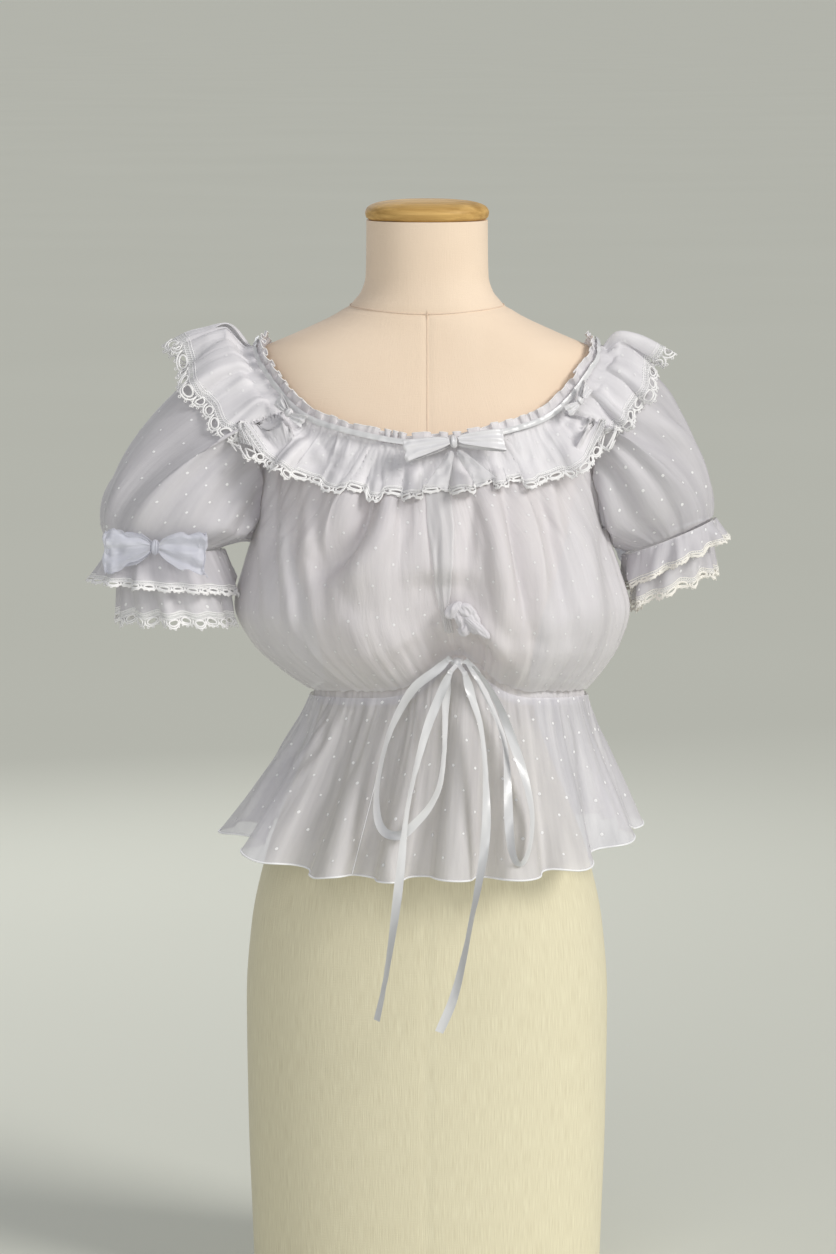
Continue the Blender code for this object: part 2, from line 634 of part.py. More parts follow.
def make_form(linen, wood):
    turn = np.radians(np.arange(0, 360, 12))
    heights = column(FORM_SECTIONS, FORM_COLUMNS, "height")
    angle, height = grid(turn, heights)
    turned_solid("form_body", point(angle, form_radius(height, angle), height), linen)
    angle, share = grid(turn, column(CAP_PROFILE, CAP_COLUMNS, "share"))
    height = grid(turn, column(CAP_PROFILE, CAP_COLUMNS, "height"))[1]
    neck = form_radius(FORM_SECTIONS[-1][0], angle)
    turned_solid("neck_cap", point(angle, neck * share, height), wood)


def panel_angles(ways, count, fore):
    """The angles of a panel's columns at each way: they end at the raglan seams, then at the side seams."""
    reach = seam_angle(ways, fore) if fore > 0 else 180 - seam_angle(ways, fore)
    reach = reach - np.degrees(SEAM / 0.16)
    spread = np.linspace(-1, 1, count)[None, :] * reach[:, None]
    return np.radians(spread if fore > 0 else 180 + spread)


def panel_grid(fore, columns, rows):
    """The middle points of the bodice's front or back panel."""
    ways = np.linspace(0.006, 0.994, rows)
    angle = panel_angles(ways, columns, fore)
    return bodice_point(angle, np.repeat(ways[:, None], columns, axis=1))


def make_bodice(cloth):
    front = panel_grid(1, 29, 10)
    closed_wall("bodice_front", front, CLOTH, cloth)
    closed_wall("bodice_back", panel_grid(-1, 23, 9), CLOTH, cloth)
    middle = front.shape[1] // 2
    strip = (front + outwards(front) * CHANNEL_LIFT)[3:-1, middle : middle + 4]
    closed_wall("front_channel", strip, CLOTH, cloth)
    place = strip[-2:, 1:3].reshape(-1, 3).mean(axis=0) + np.array(PUFF_OFFSET)
    make_knot("front_knot", place, ACROSS * PUFF_SPREAD, SKY, AHEAD, PUFF, cloth)


def outwards(points):
    down = np.gradient(points, axis=0)
    across = np.gradient(points, axis=1)
    normal = unit(np.cross(across, down))
    return normal if np.mean(normal[..., 1] * points[..., 1]) > 0 else -normal


def make_sleeves(cloth):
    for name, values in SLEEVES.items():
        row = dict(zip(SLEEVE_COLUMNS, values))
        turn, way = grid(np.arange(-180, 180, 15), np.linspace(0.024, 0.985, 7))
        closed_wall(f"sleeve_{name}", sleeve_point(row, turn, way), CLOTH, cloth, ring=True)
        angle, way = grid(np.radians(np.arange(0, 360, 20)), (0.0, 1.0))
        radius = np.full(angle.shape, row["cuff_radius"])
        band = cuff_ring(row, angle, radius, 0.0010 + CUFF_BAND * way)[0]
        closed_wall(f"cuff_band_{name}", band, CLOTH, cloth, ring=True)


def make_cuff_tiers(cloth, lace):
    for name, values in SLEEVES.items():
        row = dict(zip(SLEEVE_COLUMNS, values))
        for tier, lower in (("upper", False), ("lower", True)):
            angle, way = grid(np.radians(np.arange(0, 360, 15)), (0.0, 1 - LACE_SHARE))
            closed_wall(f"cuff_{tier}_{name}", tier_point(row, angle, way, lower), CLOTH, cloth, ring=True)
            angle, way = grid(np.radians(np.arange(0, 360, 15)), (1 - LACE_SHARE + 0.02, 1.0))
            points = tier_point(row, angle, way, lower)
            closed_wall(f"cuff_{tier}_lace_{name}", points, CLOTH, lace, ring=True)


def over_blouse(points, gap):
    """A frill's points, moved out wherever they would lie in the body or the sleeves."""
    turn, way = grid(np.radians(np.arange(-180, 181, 6)), np.linspace(0, 0.5, 13))
    points = lift_off(points, bodice_point(turn, way), gap)
    for values in SLEEVES.values():
        points = lift_off(points, sleeve_skin(dict(zip(SLEEVE_COLUMNS, values))), gap)
    return points


def make_neck(cloth, lace, satin):
    halves = {"front": neck_turns(0, 39), "back": neck_turns(180, 29)}
    round_neck = np.concatenate([halves["front"], halves["back"]])
    angle, way = grid(round_neck, (0.0, 1.0))
    closed_wall("neck_heading", heading_point(angle, way), CLOTH, cloth, ring=True)
    closed_wall("neck_ribbon", band_point(angle, way)[:, ::2], RIBBON, satin, ring=True)
    for name, turn in halves.items():
        angle, way = grid(turn, (0.0, 0.15, 0.45, 1 - LACE_SHARE))
        closed_wall(f"neck_ruffle_{name}", over_blouse(ruffle_point(angle, way), RUFFLE_GAP), CLOTH, cloth)
        angle, way = grid(turn, (1 - LACE_SHARE + 0.02, 1.0))
        closed_wall(f"neck_lace_{name}", over_blouse(ruffle_point(angle, way), LACE_GAP), CLOTH, lace)


def make_waist(cloth):
    halves = {"front": 39, "back": 31}
    middles = {"front": 0, "back": 180}
    turns = {
        name: np.radians(middles[name] + np.linspace(-SIDE_REACH, SIDE_REACH, count))
        for name, count in halves.items()
    }
    angle, way = grid(np.concatenate([turns["front"], turns["back"][1:-1:3]]), (0.0, 1.0))
    closed_wall("waist_casing", casing_point(angle, way), CLOTH, cloth, ring=True)
    for name, turn in turns.items():
        angle, way = grid(turn, np.linspace(0, 1, 5))
        closed_wall(f"peplum_{name}", peplum_point(angle, way), CLOTH, cloth)


def ribbon_wall(name, path, across, width, finish, thickness=RIBBON):
    """A flat ribbon along a path, its width laid across it."""
    half = across * np.asarray(width)[..., None] / 2
    closed_wall(name, np.stack([path - half, path + half], axis=1), thickness, finish)


def make_bow(name, centre, out, up, values, finish):
    """A bow lying on a surface: two loops that fold back behind themselves, a knot and two tails."""
    row = dict(zip(BOW_COLUMNS, values))
    side = unit(np.cross(up, out))
    turn = np.linspace(0.0, np.pi, 9)
    for hand, way in (("left", -1), ("right", 1)):
        reach = 0.0050 + (row["reach"] - 0.0050) * np.sin(turn)
        depth = row["depth"] * (0.5 + 0.36 * np.cos(turn))
        drop = -row["droop"] * np.sin(turn)
        path = centre + way * side * reach[:, None] + out * depth[:, None] + up * drop[:, None]
        width = row["width"] * (0.42 + 0.58 * np.sin(turn) ** 0.7)
        ribbon_wall(f"{name}_loop_{hand}", path, up + 0 * path, width, finish, CLOTH)
        if row["tail"]:
            share = np.linspace(0, 1, 5)
            path = centre + way * side * (0.004 + 0.45 * row["tail"] * share)[:, None]
            path = path + out * (row["depth"] * 0.20 + 0.014 * share)[:, None]
            path = path - up * (0.0100 + (row["tail"] - 0.008) * share)[:, None]
            lean = unit(side * 0.9 + up * way * 0.4)
            ribbon_wall(f"{name}_tail_{hand}", path, lean + 0 * path, 0.008 + 0.012 * share, finish, CLOTH)
    make_knot(f"{name}_knot", centre + out * row["depth"] * 0.5, side, up, out, row, finish)


def make_knot(name, centre, side, up, out, row, finish):
    """The short band round a bow's middle: a rounded block."""
    size = np.array([0.0040, 0.20 * row["width"] + 0.002, 0.42 * row["depth"]])
    polar = np.radians(np.linspace(12, 168, 5))
    angle, tilt = grid(np.radians(np.arange(0, 360, 45)), polar)
    shape = np.stack([np.sin(tilt) * np.cos(angle), np.cos(tilt), np.sin(tilt) * np.sin(angle)], axis=-1)
    points = centre + (shape * size) @ np.array([side, up, out])
    turned_solid(name, points, finish)


def make_neck_bows(organza, satin):
    for name, values in NECK_BOWS.items():
        angle = np.array([np.radians(values[0])])
        here, outward, upward = (found[0] for found in neck_ring(angle))
        centre = here + outward * (RIBBON_LIFT + 0.0016)
        finish = organza if values[-1] else satin
        make_bow(name, centre, outward, upward, values, finish)


def make_sleeve_bows(organza):
    for name, values in SLEEVES.items():
        row = dict(zip(SLEEVE_COLUMNS, values))
        angle = np.radians(np.array([row["bow_angle"]]))
        away = row["cuff_radius"] + 0.014
        centre, turn = cuff_ring(row, angle, np.array([away]), np.array([-0.004]))
        make_bow(f"sleeve_bow_{name}", centre[0], turn[0], -cuff_frame(row)[1], SLEEVE_BOW, organza)


def peplum_front(x, z):
    """How far the peplum or the bodice reaches to the front at one place, as a positive depth."""
    angle = np.radians(np.linspace(-40, 45, 171))
    way = np.linspace(0, 1, 81)
    turn, share = grid(angle, way)
    skin = peplum_point(turn, share).reshape(-1, 3)
    near = np.hypot(skin[:, 0] - x, skin[:, 2] - np.clip(z, HEM_FRONT, WAIST)) < 0.012
    return -skin[near][:, 1].min()


def make_drawstring(satin):
    """The waist ribbon: a knot, two loops and two long tails in front of the peplum."""
    for name, rows in WAIST_RUNS.items():
        x, z, lift = (column(rows, RUN_COLUMNS, key) for key in RUN_COLUMNS)
        y = np.array([-peplum_front(a, b) for a, b in zip(x, z)]) - lift
        path = np.stack([x, y, z], axis=-1)
        across = unit(np.cross(np.gradient(path, axis=0), AHEAD))
        ribbon_wall(name, path, across, np.full(len(path), RIBBON_WIDTH), satin)
    place = casing_point(np.radians(np.array([PULL_ANGLE + 2.0])), np.array([0.3]))[0]
    make_knot("waist_knot", place + AHEAD * WAIST_KNOT_LIFT, ACROSS, SKY, AHEAD, WAIST_KNOT, satin)


def main():
    clear_scene()
    cloth = material("dotted_organza", (0.80, 0.79, 0.84), 0.55)
    organza = material("bow_organza", (0.78, 0.79, 0.90), 0.50)
    lace = material("lace_edging", (0.90, 0.89, 0.91), 0.75)
    satin = material("satin_ribbon", (0.90, 0.90, 0.92), 0.28)
    linen = material("form_cover", (0.86, 0.76, 0.60), 0.85)
    wood = material("cap_wood", (0.62, 0.40, 0.16), 0.45)
    make_form(linen, wood)
    make_bodice(cloth)
    make_sleeves(cloth)
    make_cuff_tiers(cloth, lace)
    make_neck(cloth, lace, satin)
    make_waist(cloth)
    make_neck_bows(organza, satin)
    make_sleeve_bows(organza)
    make_drawstring(satin)


main()
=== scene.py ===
"""Looks of the peasant blouse on its dress form: fine cloth, lace, ribbon, materials and light.

Metres, +Z up, the front towards -Y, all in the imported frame. The shape formulas and their tables repeat
the part's own, so that every piece lies where its solid does.
"""

import math

import bpy
import numpy as np
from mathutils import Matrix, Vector
from mathutils.kdtree import KDTree


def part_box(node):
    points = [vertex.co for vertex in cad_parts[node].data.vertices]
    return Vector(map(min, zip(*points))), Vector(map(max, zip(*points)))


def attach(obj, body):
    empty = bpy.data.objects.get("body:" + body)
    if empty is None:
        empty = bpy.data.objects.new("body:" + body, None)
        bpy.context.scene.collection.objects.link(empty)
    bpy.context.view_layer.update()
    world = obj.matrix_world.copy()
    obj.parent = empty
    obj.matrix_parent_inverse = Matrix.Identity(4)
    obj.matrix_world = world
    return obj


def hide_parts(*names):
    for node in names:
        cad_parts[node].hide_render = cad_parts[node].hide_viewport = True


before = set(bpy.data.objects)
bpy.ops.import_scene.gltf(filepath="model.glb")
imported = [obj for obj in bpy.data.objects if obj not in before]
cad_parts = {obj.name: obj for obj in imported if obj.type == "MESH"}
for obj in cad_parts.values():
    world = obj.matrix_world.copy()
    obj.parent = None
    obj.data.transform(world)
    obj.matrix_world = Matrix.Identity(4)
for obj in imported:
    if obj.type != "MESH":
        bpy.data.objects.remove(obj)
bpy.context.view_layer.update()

SEAM = 0.0008           # free space left along each sewn edge
EASE = 0.0022           # how far the blouse lies off the form where it rests on it
FRILL_LIFT = 0.0056     # how far the neck frills lie off the form
RIBBON_LIFT = 0.014     # how far the neck ribbon lies off the form
SIDE_EASE = 0.005       # how far the sleeves' lower ends hang off the bodice
ROUNDNESS = 2.15        # exponent of the oval sections, 2 being an ellipse
NECK_FRONT = 0.815      # height of the neck seam at the centre front
NECK_BACK = 0.84        # and at the centre back
NECK_CURVE = 0.028      # how much of its rise is a gentle curve
NECK_SHOULDER = 0.902   # and where it passes over the end of the shoulder
NECK_TURN = 14          # how sharply the neck seam turns up to the shoulder
NECK_LAP = 0.003        # how far the ruffle and the heading run under the neck ribbon
FRONT_REACH = 62.0      # angle where the front raglan seams leave the neck seam
BACK_REACH = 60.0       # the same, measured from the centre back
UNDERARM = 0.44         # share of the way from neck to waist where the armholes end
WAIST = 0.577           # height of the waist seam at the sides
WAIST_RISE = 0.01       # how much higher it lies at the front
WAIST_PULL = 0.034      # how far the drawstring pulls it up at the knot
WAIST_LAP = 0.006       # how far the peplum's gathered top runs up over the casing
WAIST_PROUD = 0.0026    # how far that top stands out
PULL_IN = 0.016         # how much flatter the bodice lies above the knot
PULL_ANGLE = 4.0        # angle of the knot
PULL_WIDTH = 13.0       # half-width of the pulled stretch, in degrees
CASING = 0.009          # height of the waist casing
HEADING = 0.017         # height of the frill that stands above the neck ribbon
NECK_BAND = 0.0075      # width of the neck ribbon
BAND_RISE = 0.004       # how far its middle lies above the neck seam
NECK_REACH = 89.0       # how far each half of the ruffle reaches from its middle, in degrees
SIDE_REACH = 90.05      # the same for the peplum
SEAM_LAP = 0.05         # how far a bodice panel runs past its seams to close them, in degrees
NECK_SPREAD = 72.0      # how strongly the ruffle's columns crowd towards the shoulders, in degrees
LACE_SHARE = 0.24       # share of a ruffle's depth that is its lace edging
FLUTE_DROP = 0.35       # how much lower the hem hangs on a flute, as a share of its depth
HEM_CENTRE = 0.003      # how far the hem's middle lies to the side
HEM_HALF_WIDTH = 0.165  # the hem's reach between its flutes
HEM_DEPTH = 0.141       # and to the front and the back
HEM_FRONT = 0.424       # height of the hem at the front
HEM_SIDE = 0.452        # and at the sides
HEM_BACK = 0.436        # and at the back
CUFF_FRONT = 0.05       # how far a cuff's front side drops, as a slope
CUFF_BAND = 0.008       # height of a cuff band
FRILL_FLARE = 0.013     # how far a cuff's frill spreads
FRILL_FOLD = 0.006      # depth of its waves
UPPER_FLARE = 0.013     # how much more its upper frill does
TIER_GAP = 0.0045       # how far the upper frill stands off the lower one
UNDERARM_LIFT = 0.0034  # how far the sleeve lies over the bodice at the underarm
SHOULDER_SPAN = 52.0    # half-angle of the cuff's round that hangs from the neck seam
RIBBON_WIDTH = 0.0085   # width of the drawstring
KNOT_FRONT = 0.006      # how far in front of the knot's middle its loops and tails leave it
CUFF_SCALLOP = 0.0125   # width of a scallop of the cuffs' lace
NECK_SCALLOP = 0.0135   # and of the neck's
PICOT = 0.0009          # radius of the lace's picots
DOT_RISE = 0.0005       # how far a woven dot stands out
DOT_RIM = 0.00022       # and its rim
DOT_STRAY = 0.0024      # how far the dots lie off their rows
ACROSS, AHEAD, SKY = np.array([1.0, 0.0, 0.0]), np.array([0.0, -1.0, 0.0]), np.array([0.0, 0.0, 1.0])
INNER_FILL = np.array([0.02, -0.008, 0.0])      # how far a sleeve's inner side swells over the bodice
KNOT_SIZE = np.array([0.0062, 0.0048, 0.009])   # half sizes of the drawstring's knot
KNOT_X, KNOT_Z = 0.0285, 0.6175                 # where it lies
KNOT_AHEAD = 0.0035                             # and how far in front of its solid's middle
PEPLUM_SEAM = -0.0707                           # x of the peplum's upright seam at the hem
CHANNEL_TOP, CHANNEL_FOOT = 0.13, 0.885         # ways down the bodice where the front channel ends
CHANNEL_ANGLE = 4.4                             # its angle at the neck, in degrees
SEAM_GROOVE = 0.0022                            # half-width of the grooves along the form's seams
SEAM_TOP, SEAM_FOOT = 1.0225, 0.75              # heights between which its centre seams have thread


class Table:
    """Rows of values under named columns. The first column orders the rows."""

    def __init__(self, names, *rows):
        self.names = names.split()
        self.rows = [dict(zip(self.names, row)) for row in rows]

    def __getitem__(self, name):
        return np.array([row[name] for row in self.rows], float)

    def at(self, place):
        """Every other column, smoothly, at places along the first."""
        return (smooth(place, self[self.names[0]], self[name]) for name in self.names[1:])


FORM = Table(
    "height half_width front back",
    (0.0, 0.1665, 0.11, 0.122),
    (0.06, 0.1685, 0.112, 0.124),
    (0.16, 0.172, 0.114, 0.128),
    (0.28, 0.1735, 0.116, 0.132),
    (0.35, 0.1685, 0.114, 0.128),
    (0.42, 0.1535, 0.108, 0.116),
    (0.49, 0.127, 0.098, 0.098),
    (0.545, 0.106, 0.088, 0.084),
    (0.585, 0.0985, 0.084, 0.078),
    (0.64, 0.108, 0.092, 0.082),
    (0.7, 0.127, 0.108, 0.09),
    (0.755, 0.14, 0.121, 0.096),
    (0.8, 0.15, 0.114, 0.1),
    (0.84, 0.158, 0.097, 0.098),
    (0.874, 0.163, 0.081, 0.088),
    (0.892, 0.1615, 0.074, 0.08),
    (0.903, 0.156, 0.07, 0.075),
    (0.919, 0.1215, 0.065, 0.068),
    (0.936, 0.086, 0.061, 0.062),
    (0.9475, 0.0705, 0.0585, 0.059),
    (0.957, 0.0625, 0.057, 0.057),
    (0.972, 0.0582, 0.0555, 0.0555),
    (1.0, 0.0576, 0.055, 0.055),
    (1.0245, 0.0575, 0.0545, 0.0545),
)
CAP = Table(
    "height share",
    (1.025, 0.96),
    (1.0275, 1.005),
    (1.032, 1.02),
    (1.0365, 0.985),
    (1.04, 0.88),
    (1.0425, 0.69),
    (1.044, 0.42),
)
BODICE = Table(
    "way height centre half_width front back",
    (0.0, 0.815, 0.0, 0.159, 0.11, 0.101),
    (0.14, 0.785, 0.0, 0.159, 0.1235, 0.11),
    (0.3, 0.757, 0.002, 0.162, 0.134, 0.118),
    (0.44, 0.73, 0.003, 0.168, 0.143, 0.124),
    (0.6, 0.692, 0.004, 0.18, 0.15, 0.129),
    (0.72, 0.658, 0.005, 0.1885, 0.153, 0.131),
    (0.84, 0.622, 0.009, 0.175, 0.145, 0.125),
    (0.93, 0.596, 0.015, 0.153, 0.126, 0.11),
    (1.0, 0.577, 0.021, 0.131, 0.104, 0.094),
)
FOLDS = Table(
    "angle width depth start end",
    (-66, 5.0, -0.005, 0.05, 0.8),
    (-52, 5.0, 0.005, 0.1, 0.95),
    (-38, 4.5, -0.006, 0.12, 0.62),
    (-24, 6.0, 0.004, 0.2, 0.98),
    (-12, 3.0, -0.005, 0.1, 0.85),
    (16, 3.5, -0.0055, 0.15, 0.98),
    (27, 5.0, 0.005, 0.1, 0.8),
    (41, 4.0, -0.0065, 0.1, 0.75),
    (56, 5.0, 0.005, 0.15, 0.98),
    (70, 4.5, -0.0045, 0.3, 0.95),
    (112, 6.0, 0.005, 0.2, 0.98),
    (130, 5.0, -0.006, 0.05, 0.8),
    (150, 6.0, 0.005, 0.1, 0.95),
    (168, 5.0, -0.005, 0.15, 0.9),
    (188, 6.0, 0.005, 0.05, 0.98),
    (207, 5.0, -0.006, 0.1, 0.7),
    (226, 6.0, 0.005, 0.2, 0.95),
    (246, 5.0, -0.005, 0.1, 0.85),
)
RUFFLE = Table(
    "turn out fall arch",
    (-180, 0.022, 0.048, 0.0),
    (-130, 0.042, 0.052, 0.006),
    (-105, 0.068, 0.044, 0.02),
    (-90, 0.086, 0.022, 0.032),
    (-75, 0.068, 0.042, 0.02),
    (-60, 0.052, 0.046, 0.012),
    (-40, 0.024, 0.048, 0.0),
    (0, 0.016, 0.04, 0.0),
    (40, 0.02, 0.044, 0.0),
    (60, 0.034, 0.046, 0.006),
    (75, 0.05, 0.042, 0.014),
    (90, 0.064, 0.026, 0.024),
    (105, 0.054, 0.044, 0.014),
    (130, 0.036, 0.05, 0.005),
    (180, 0.022, 0.048, 0.0),
)
FLUTES = Table(
    "angle width depth",
    (-84, 7.0, 0.034),
    (-58, 6.5, 0.032),
    (-36, 6.0, 0.027),
    (-14, 6.0, 0.024),
    (8, 6.0, 0.022),
    (29, 6.5, 0.027),
    (51, 6.5, 0.03),
    (72, 6.0, 0.028),
    (93, 6.5, 0.033),
    (118, 7.5, 0.029),
    (143, 7.5, 0.027),
    (167, 7.0, 0.028),
    (191, 7.5, 0.025),
    (216, 7.5, 0.029),
    (244, 7.5, 0.03),
)
SLEEVES = Table(
    "name side cuff_x cuff_y cuff_z tilt hang_in cuff_radius start_out puff_out puff_up upper_tier "
    "lower_tier flare bow_angle seed",
    ("left", -1, -0.246, -0.026, 0.716, 0.02, 0.26, 0.05, 0.075, 0.05, 0.034, 0.044, 0.074, 1.0, 84.0, 60),
    ("right", 1, 0.232, 0.024, 0.722, 0.4, 0.06, 0.044, 0.062, 0.026, 0.044, 0.034, 0.054, 0.4, -96.0, 80),
)
# The drawstring's runs: x, z and how far each point lies in front of the cloth
WAIST_RUNS = {
    "waist_loop_left": (
        (0.0215, 0.623, 0.007), (0.01, 0.612, 0.01), (-0.011, 0.596, 0.012), (-0.026, 0.572, 0.012),
        (-0.036, 0.55, 0.012), (-0.044, 0.52, 0.012), (-0.0475, 0.495, 0.012), (-0.046, 0.474, 0.012),
        (-0.037, 0.462, 0.013), (-0.025, 0.461, 0.015), (-0.014, 0.47, 0.017), (0.002, 0.487, 0.019),
        (0.012, 0.508, 0.02), (0.016, 0.54, 0.021), (0.017, 0.575, 0.02), (0.0195, 0.607, 0.017),
    ),
    "waist_loop_right": (
        (0.0355, 0.621, 0.008), (0.045, 0.61, 0.01), (0.056, 0.585, 0.011), (0.067, 0.56, 0.012),
        (0.073, 0.54, 0.012), (0.075, 0.505, 0.012), (0.076, 0.47, 0.012), (0.079, 0.444, 0.012),
        (0.086, 0.432, 0.013), (0.094, 0.444, 0.015), (0.098, 0.475, 0.017), (0.093, 0.505, 0.019),
        (0.08, 0.545, 0.021), (0.066, 0.58, 0.021), (0.052, 0.604, 0.019), (0.042, 0.616, 0.016),
    ),
    "waist_tail_left": (
        (0.022, 0.613, 0.024), (0.012, 0.59, 0.026), (0.0, 0.56, 0.027), (-0.01, 0.525, 0.027),
        (-0.018, 0.49, 0.026), (-0.0215, 0.464, 0.024), (-0.0245, 0.435, 0.02), (-0.0285, 0.4, 0.018),
        (-0.034, 0.36, 0.018), (-0.0405, 0.32, 0.018), (-0.047, 0.29, 0.018),
    ),
    "waist_tail_right": (
        (0.0345, 0.612, 0.024), (0.041, 0.59, 0.026), (0.05, 0.56, 0.028), (0.054, 0.52, 0.028),
        (0.055, 0.48, 0.026), (0.053, 0.45, 0.022), (0.049, 0.425, 0.018), (0.042, 0.39, 0.018),
        (0.034, 0.35, 0.018), (0.024, 0.31, 0.018), (0.011, 0.279, 0.018),
    ),
}
BOWS = Table(
    "name angle reach width depth droop tail seed",
    ("neck_bow", 12.0, 0.047, 0.021, 0.012, 0.004, 0.044, 200),
    ("side_bow_left", -60.0, 0.019, 0.012, 0.008, -0.003, 0.0, 209),
    ("side_bow_right", 66.0, 0.018, 0.012, 0.008, -0.003, 0.0, 218),
    ("sleeve_bow_left", 0.0, 0.048, 0.027, 0.013, 0.006, 0.0, 240),
    ("sleeve_bow_right", 0.0, 0.048, 0.027, 0.013, 0.006, 0.0, 250),
)
# Creases of the front and the back: three points (x, z) of a curve, then width and depth
CREASES = (
    (-0.05, 0.795, -0.052, 0.742, -0.096, 0.702, 0.006, -0.019),
    (-0.07, 0.795, -0.076, 0.754, -0.112, 0.716, 0.012, 0.0175),
    (-0.034, 0.79, -0.034, 0.736, -0.078, 0.688, 0.009, 0.0095),
    (-0.018, 0.765, -0.036, 0.71, -0.075, 0.68, 0.02, 0.007),
    (-0.149, 0.795, -0.159, 0.718, -0.147, 0.641, 0.004, 0.0042),
    (-0.14, 0.797, -0.148, 0.718, -0.136, 0.627, 0.0032, -0.004),
    (-0.131, 0.797, -0.139, 0.727, -0.126, 0.641, 0.0036, 0.004),
    (-0.12, 0.797, -0.129, 0.718, -0.114, 0.622, 0.0034, -0.0042),
    (-0.108, 0.797, -0.118, 0.72, -0.1, 0.63, 0.0042, 0.0034),
    (-0.095, 0.797, -0.106, 0.73, -0.09, 0.66, 0.0036, -0.0034),
    (-0.025, 0.79, -0.014, 0.718, -0.002, 0.641, 0.0086, -0.0025),
    (0.001, 0.79, 0.004, 0.727, 0.016, 0.67, 0.0038, -0.003),
    (0.068, 0.787, 0.09, 0.718, 0.094, 0.641, 0.005, -0.012),
    (0.053, 0.787, 0.071, 0.718, 0.079, 0.641, 0.0095, 0.008),
    (0.083, 0.792, 0.104, 0.722, 0.108, 0.65, 0.007, 0.011),
    (0.101, 0.795, 0.12, 0.718, 0.131, 0.641, 0.0046, -0.0045),
    (0.112, 0.795, 0.129, 0.718, 0.149, 0.641, 0.005, 0.004),
    (0.123, 0.797, 0.137, 0.737, 0.146, 0.679, 0.0066, -0.004),
    (0.151, 0.797, 0.157, 0.718, 0.16, 0.631, 0.0057, 0.003),
    (-0.076, 0.679, -0.039, 0.656, -0.005, 0.668, 0.0114, -0.003),
    (0.034, 0.668, 0.06, 0.652, 0.082, 0.612, 0.0062, 0.007),
    (0.03, 0.648, 0.05, 0.634, 0.064, 0.606, 0.006, -0.006),
    (0.044, 0.788, 0.04, 0.727, 0.031, 0.665, 0.0038, -0.003),
    (-0.09, 0.689, -0.071, 0.641, -0.051, 0.603, 0.0086, 0.003),
    (-0.006, 0.641, -0.025, 0.622, -0.039, 0.597, 0.0066, -0.0025),
    (0.109, 0.679, 0.105, 0.641, 0.096, 0.606, 0.0057, -0.003),
)
BACK_CREASES = (
    (-0.12, 0.8, -0.132, 0.73, -0.112, 0.64, 0.006, -0.004),
    (-0.088, 0.795, -0.094, 0.74, -0.125, 0.69, 0.01, 0.0045),
    (-0.052, 0.8, -0.06, 0.72, -0.048, 0.625, 0.0065, -0.005),
    (-0.02, 0.79, -0.028, 0.735, -0.006, 0.65, 0.009, 0.004),
    (0.012, 0.8, 0.02, 0.72, 0.026, 0.61, 0.0055, -0.0045),
    (0.046, 0.79, 0.052, 0.74, 0.086, 0.7, 0.011, 0.0045),
    (0.078, 0.798, 0.092, 0.71, 0.082, 0.63, 0.006, -0.005),
    (0.11, 0.795, 0.124, 0.72, 0.13, 0.64, 0.0075, 0.004),
    (0.14, 0.79, 0.146, 0.72, 0.128, 0.66, 0.005, -0.0035),
    (-0.04, 0.68, -0.01, 0.655, 0.03, 0.665, 0.01, -0.003),
)
# The gathered puffs: centre as shares of their solid's half sizes, then half sizes and lean
PUFFS = (
    (-0.55, 0.4, 0.45, 0.007, 0.004, 0.0085, 0.45),
    (-0.2, 0.45, 0.05, 0.006, 0.0036, 0.01, -0.25),
    (0.35, 0.4, 0.4, 0.008, 0.0042, 0.008, -0.5),
    (0.55, 0.45, -0.15, 0.007, 0.004, 0.013, -0.3),
    (0.2, 0.5, -0.55, 0.006, 0.0034, 0.009, 0.2),
    (0.95, 0.1, -0.55, 0.0064, 0.0032, 0.0105, -0.95),
)


# ---------------------------------------------------------------- shapes

def smooth(at, places, values):
    """A monotone cubic through the rows of a table, so that it never bulges past them."""
    at = np.clip(np.asarray(at, float), places[0], places[-1])
    step = np.diff(places)
    rise = np.diff(values) / step
    slope = np.zeros(len(places))
    slope[0], slope[-1] = rise[0], rise[-1]
    product = rise[:-1] * rise[1:]
    same_way = product > 0
    slope[1:-1][same_way] = 2 * product[same_way] / (rise[:-1] + rise[1:])[same_way]
    row = np.clip(np.searchsorted(places, at, side="right") - 1, 0, len(places) - 2)
    share = (at - places[row]) / step[row]
    stay = 2 * share**3 - 3 * share**2 + 1
    leave = share**3 - 2 * share**2 + share
    turn = step[row] * (leave * slope[row] + (share**3 - share**2) * slope[row + 1])
    return stay * values[row] + (1 - stay) * values[row + 1] + turn


def ramp(value, low, high):
    share = np.clip((np.asarray(value, float) - low) / (high - low), 0, 1)
    return share * share * (3 - 2 * share)


def bell(value):
    return np.exp(-0.5 * value**2)


def fade(value, span):
    return np.exp(-((value / span) ** 2))


def arch(way):
    return np.sin(np.pi * way)


def unit(vectors):
    return vectors / np.linalg.norm(vectors, axis=-1, keepdims=True)


def grid(angles, ways):
    return np.meshgrid(np.asarray(angles, float), np.asarray(ways, float))


def round_grid(step, ways):
    """A grid once round, with a column at every step in degrees."""
    return grid(np.radians(np.arange(0, 360, step)), ways)


def run_along(path):
    """How far along a path each of its points lies."""
    return np.append(0, np.cumsum(np.linalg.norm(np.diff(path, axis=0), axis=1)))


def oval(angle, half_width, front, back):
    """The distance from the centre to a rounded oval, towards each angle in radians."""
    depth = np.where(np.cos(angle) > 0, front, back)
    across = np.abs(np.sin(angle) / half_width) ** ROUNDNESS
    return (across + np.abs(np.cos(angle) / depth) ** ROUNDNESS) ** (-1 / ROUNDNESS)


def point(angle, radius, height, centre=0.0):
    places = np.broadcast_arrays(centre + radius * np.sin(angle), -radius * np.cos(angle), height)
    return np.stack(places, axis=-1)


def form_radius(height, angle):
    return oval(angle, *FORM.at(height))


def on_form(angle, height):
    return point(angle, form_radius(height, angle), height)


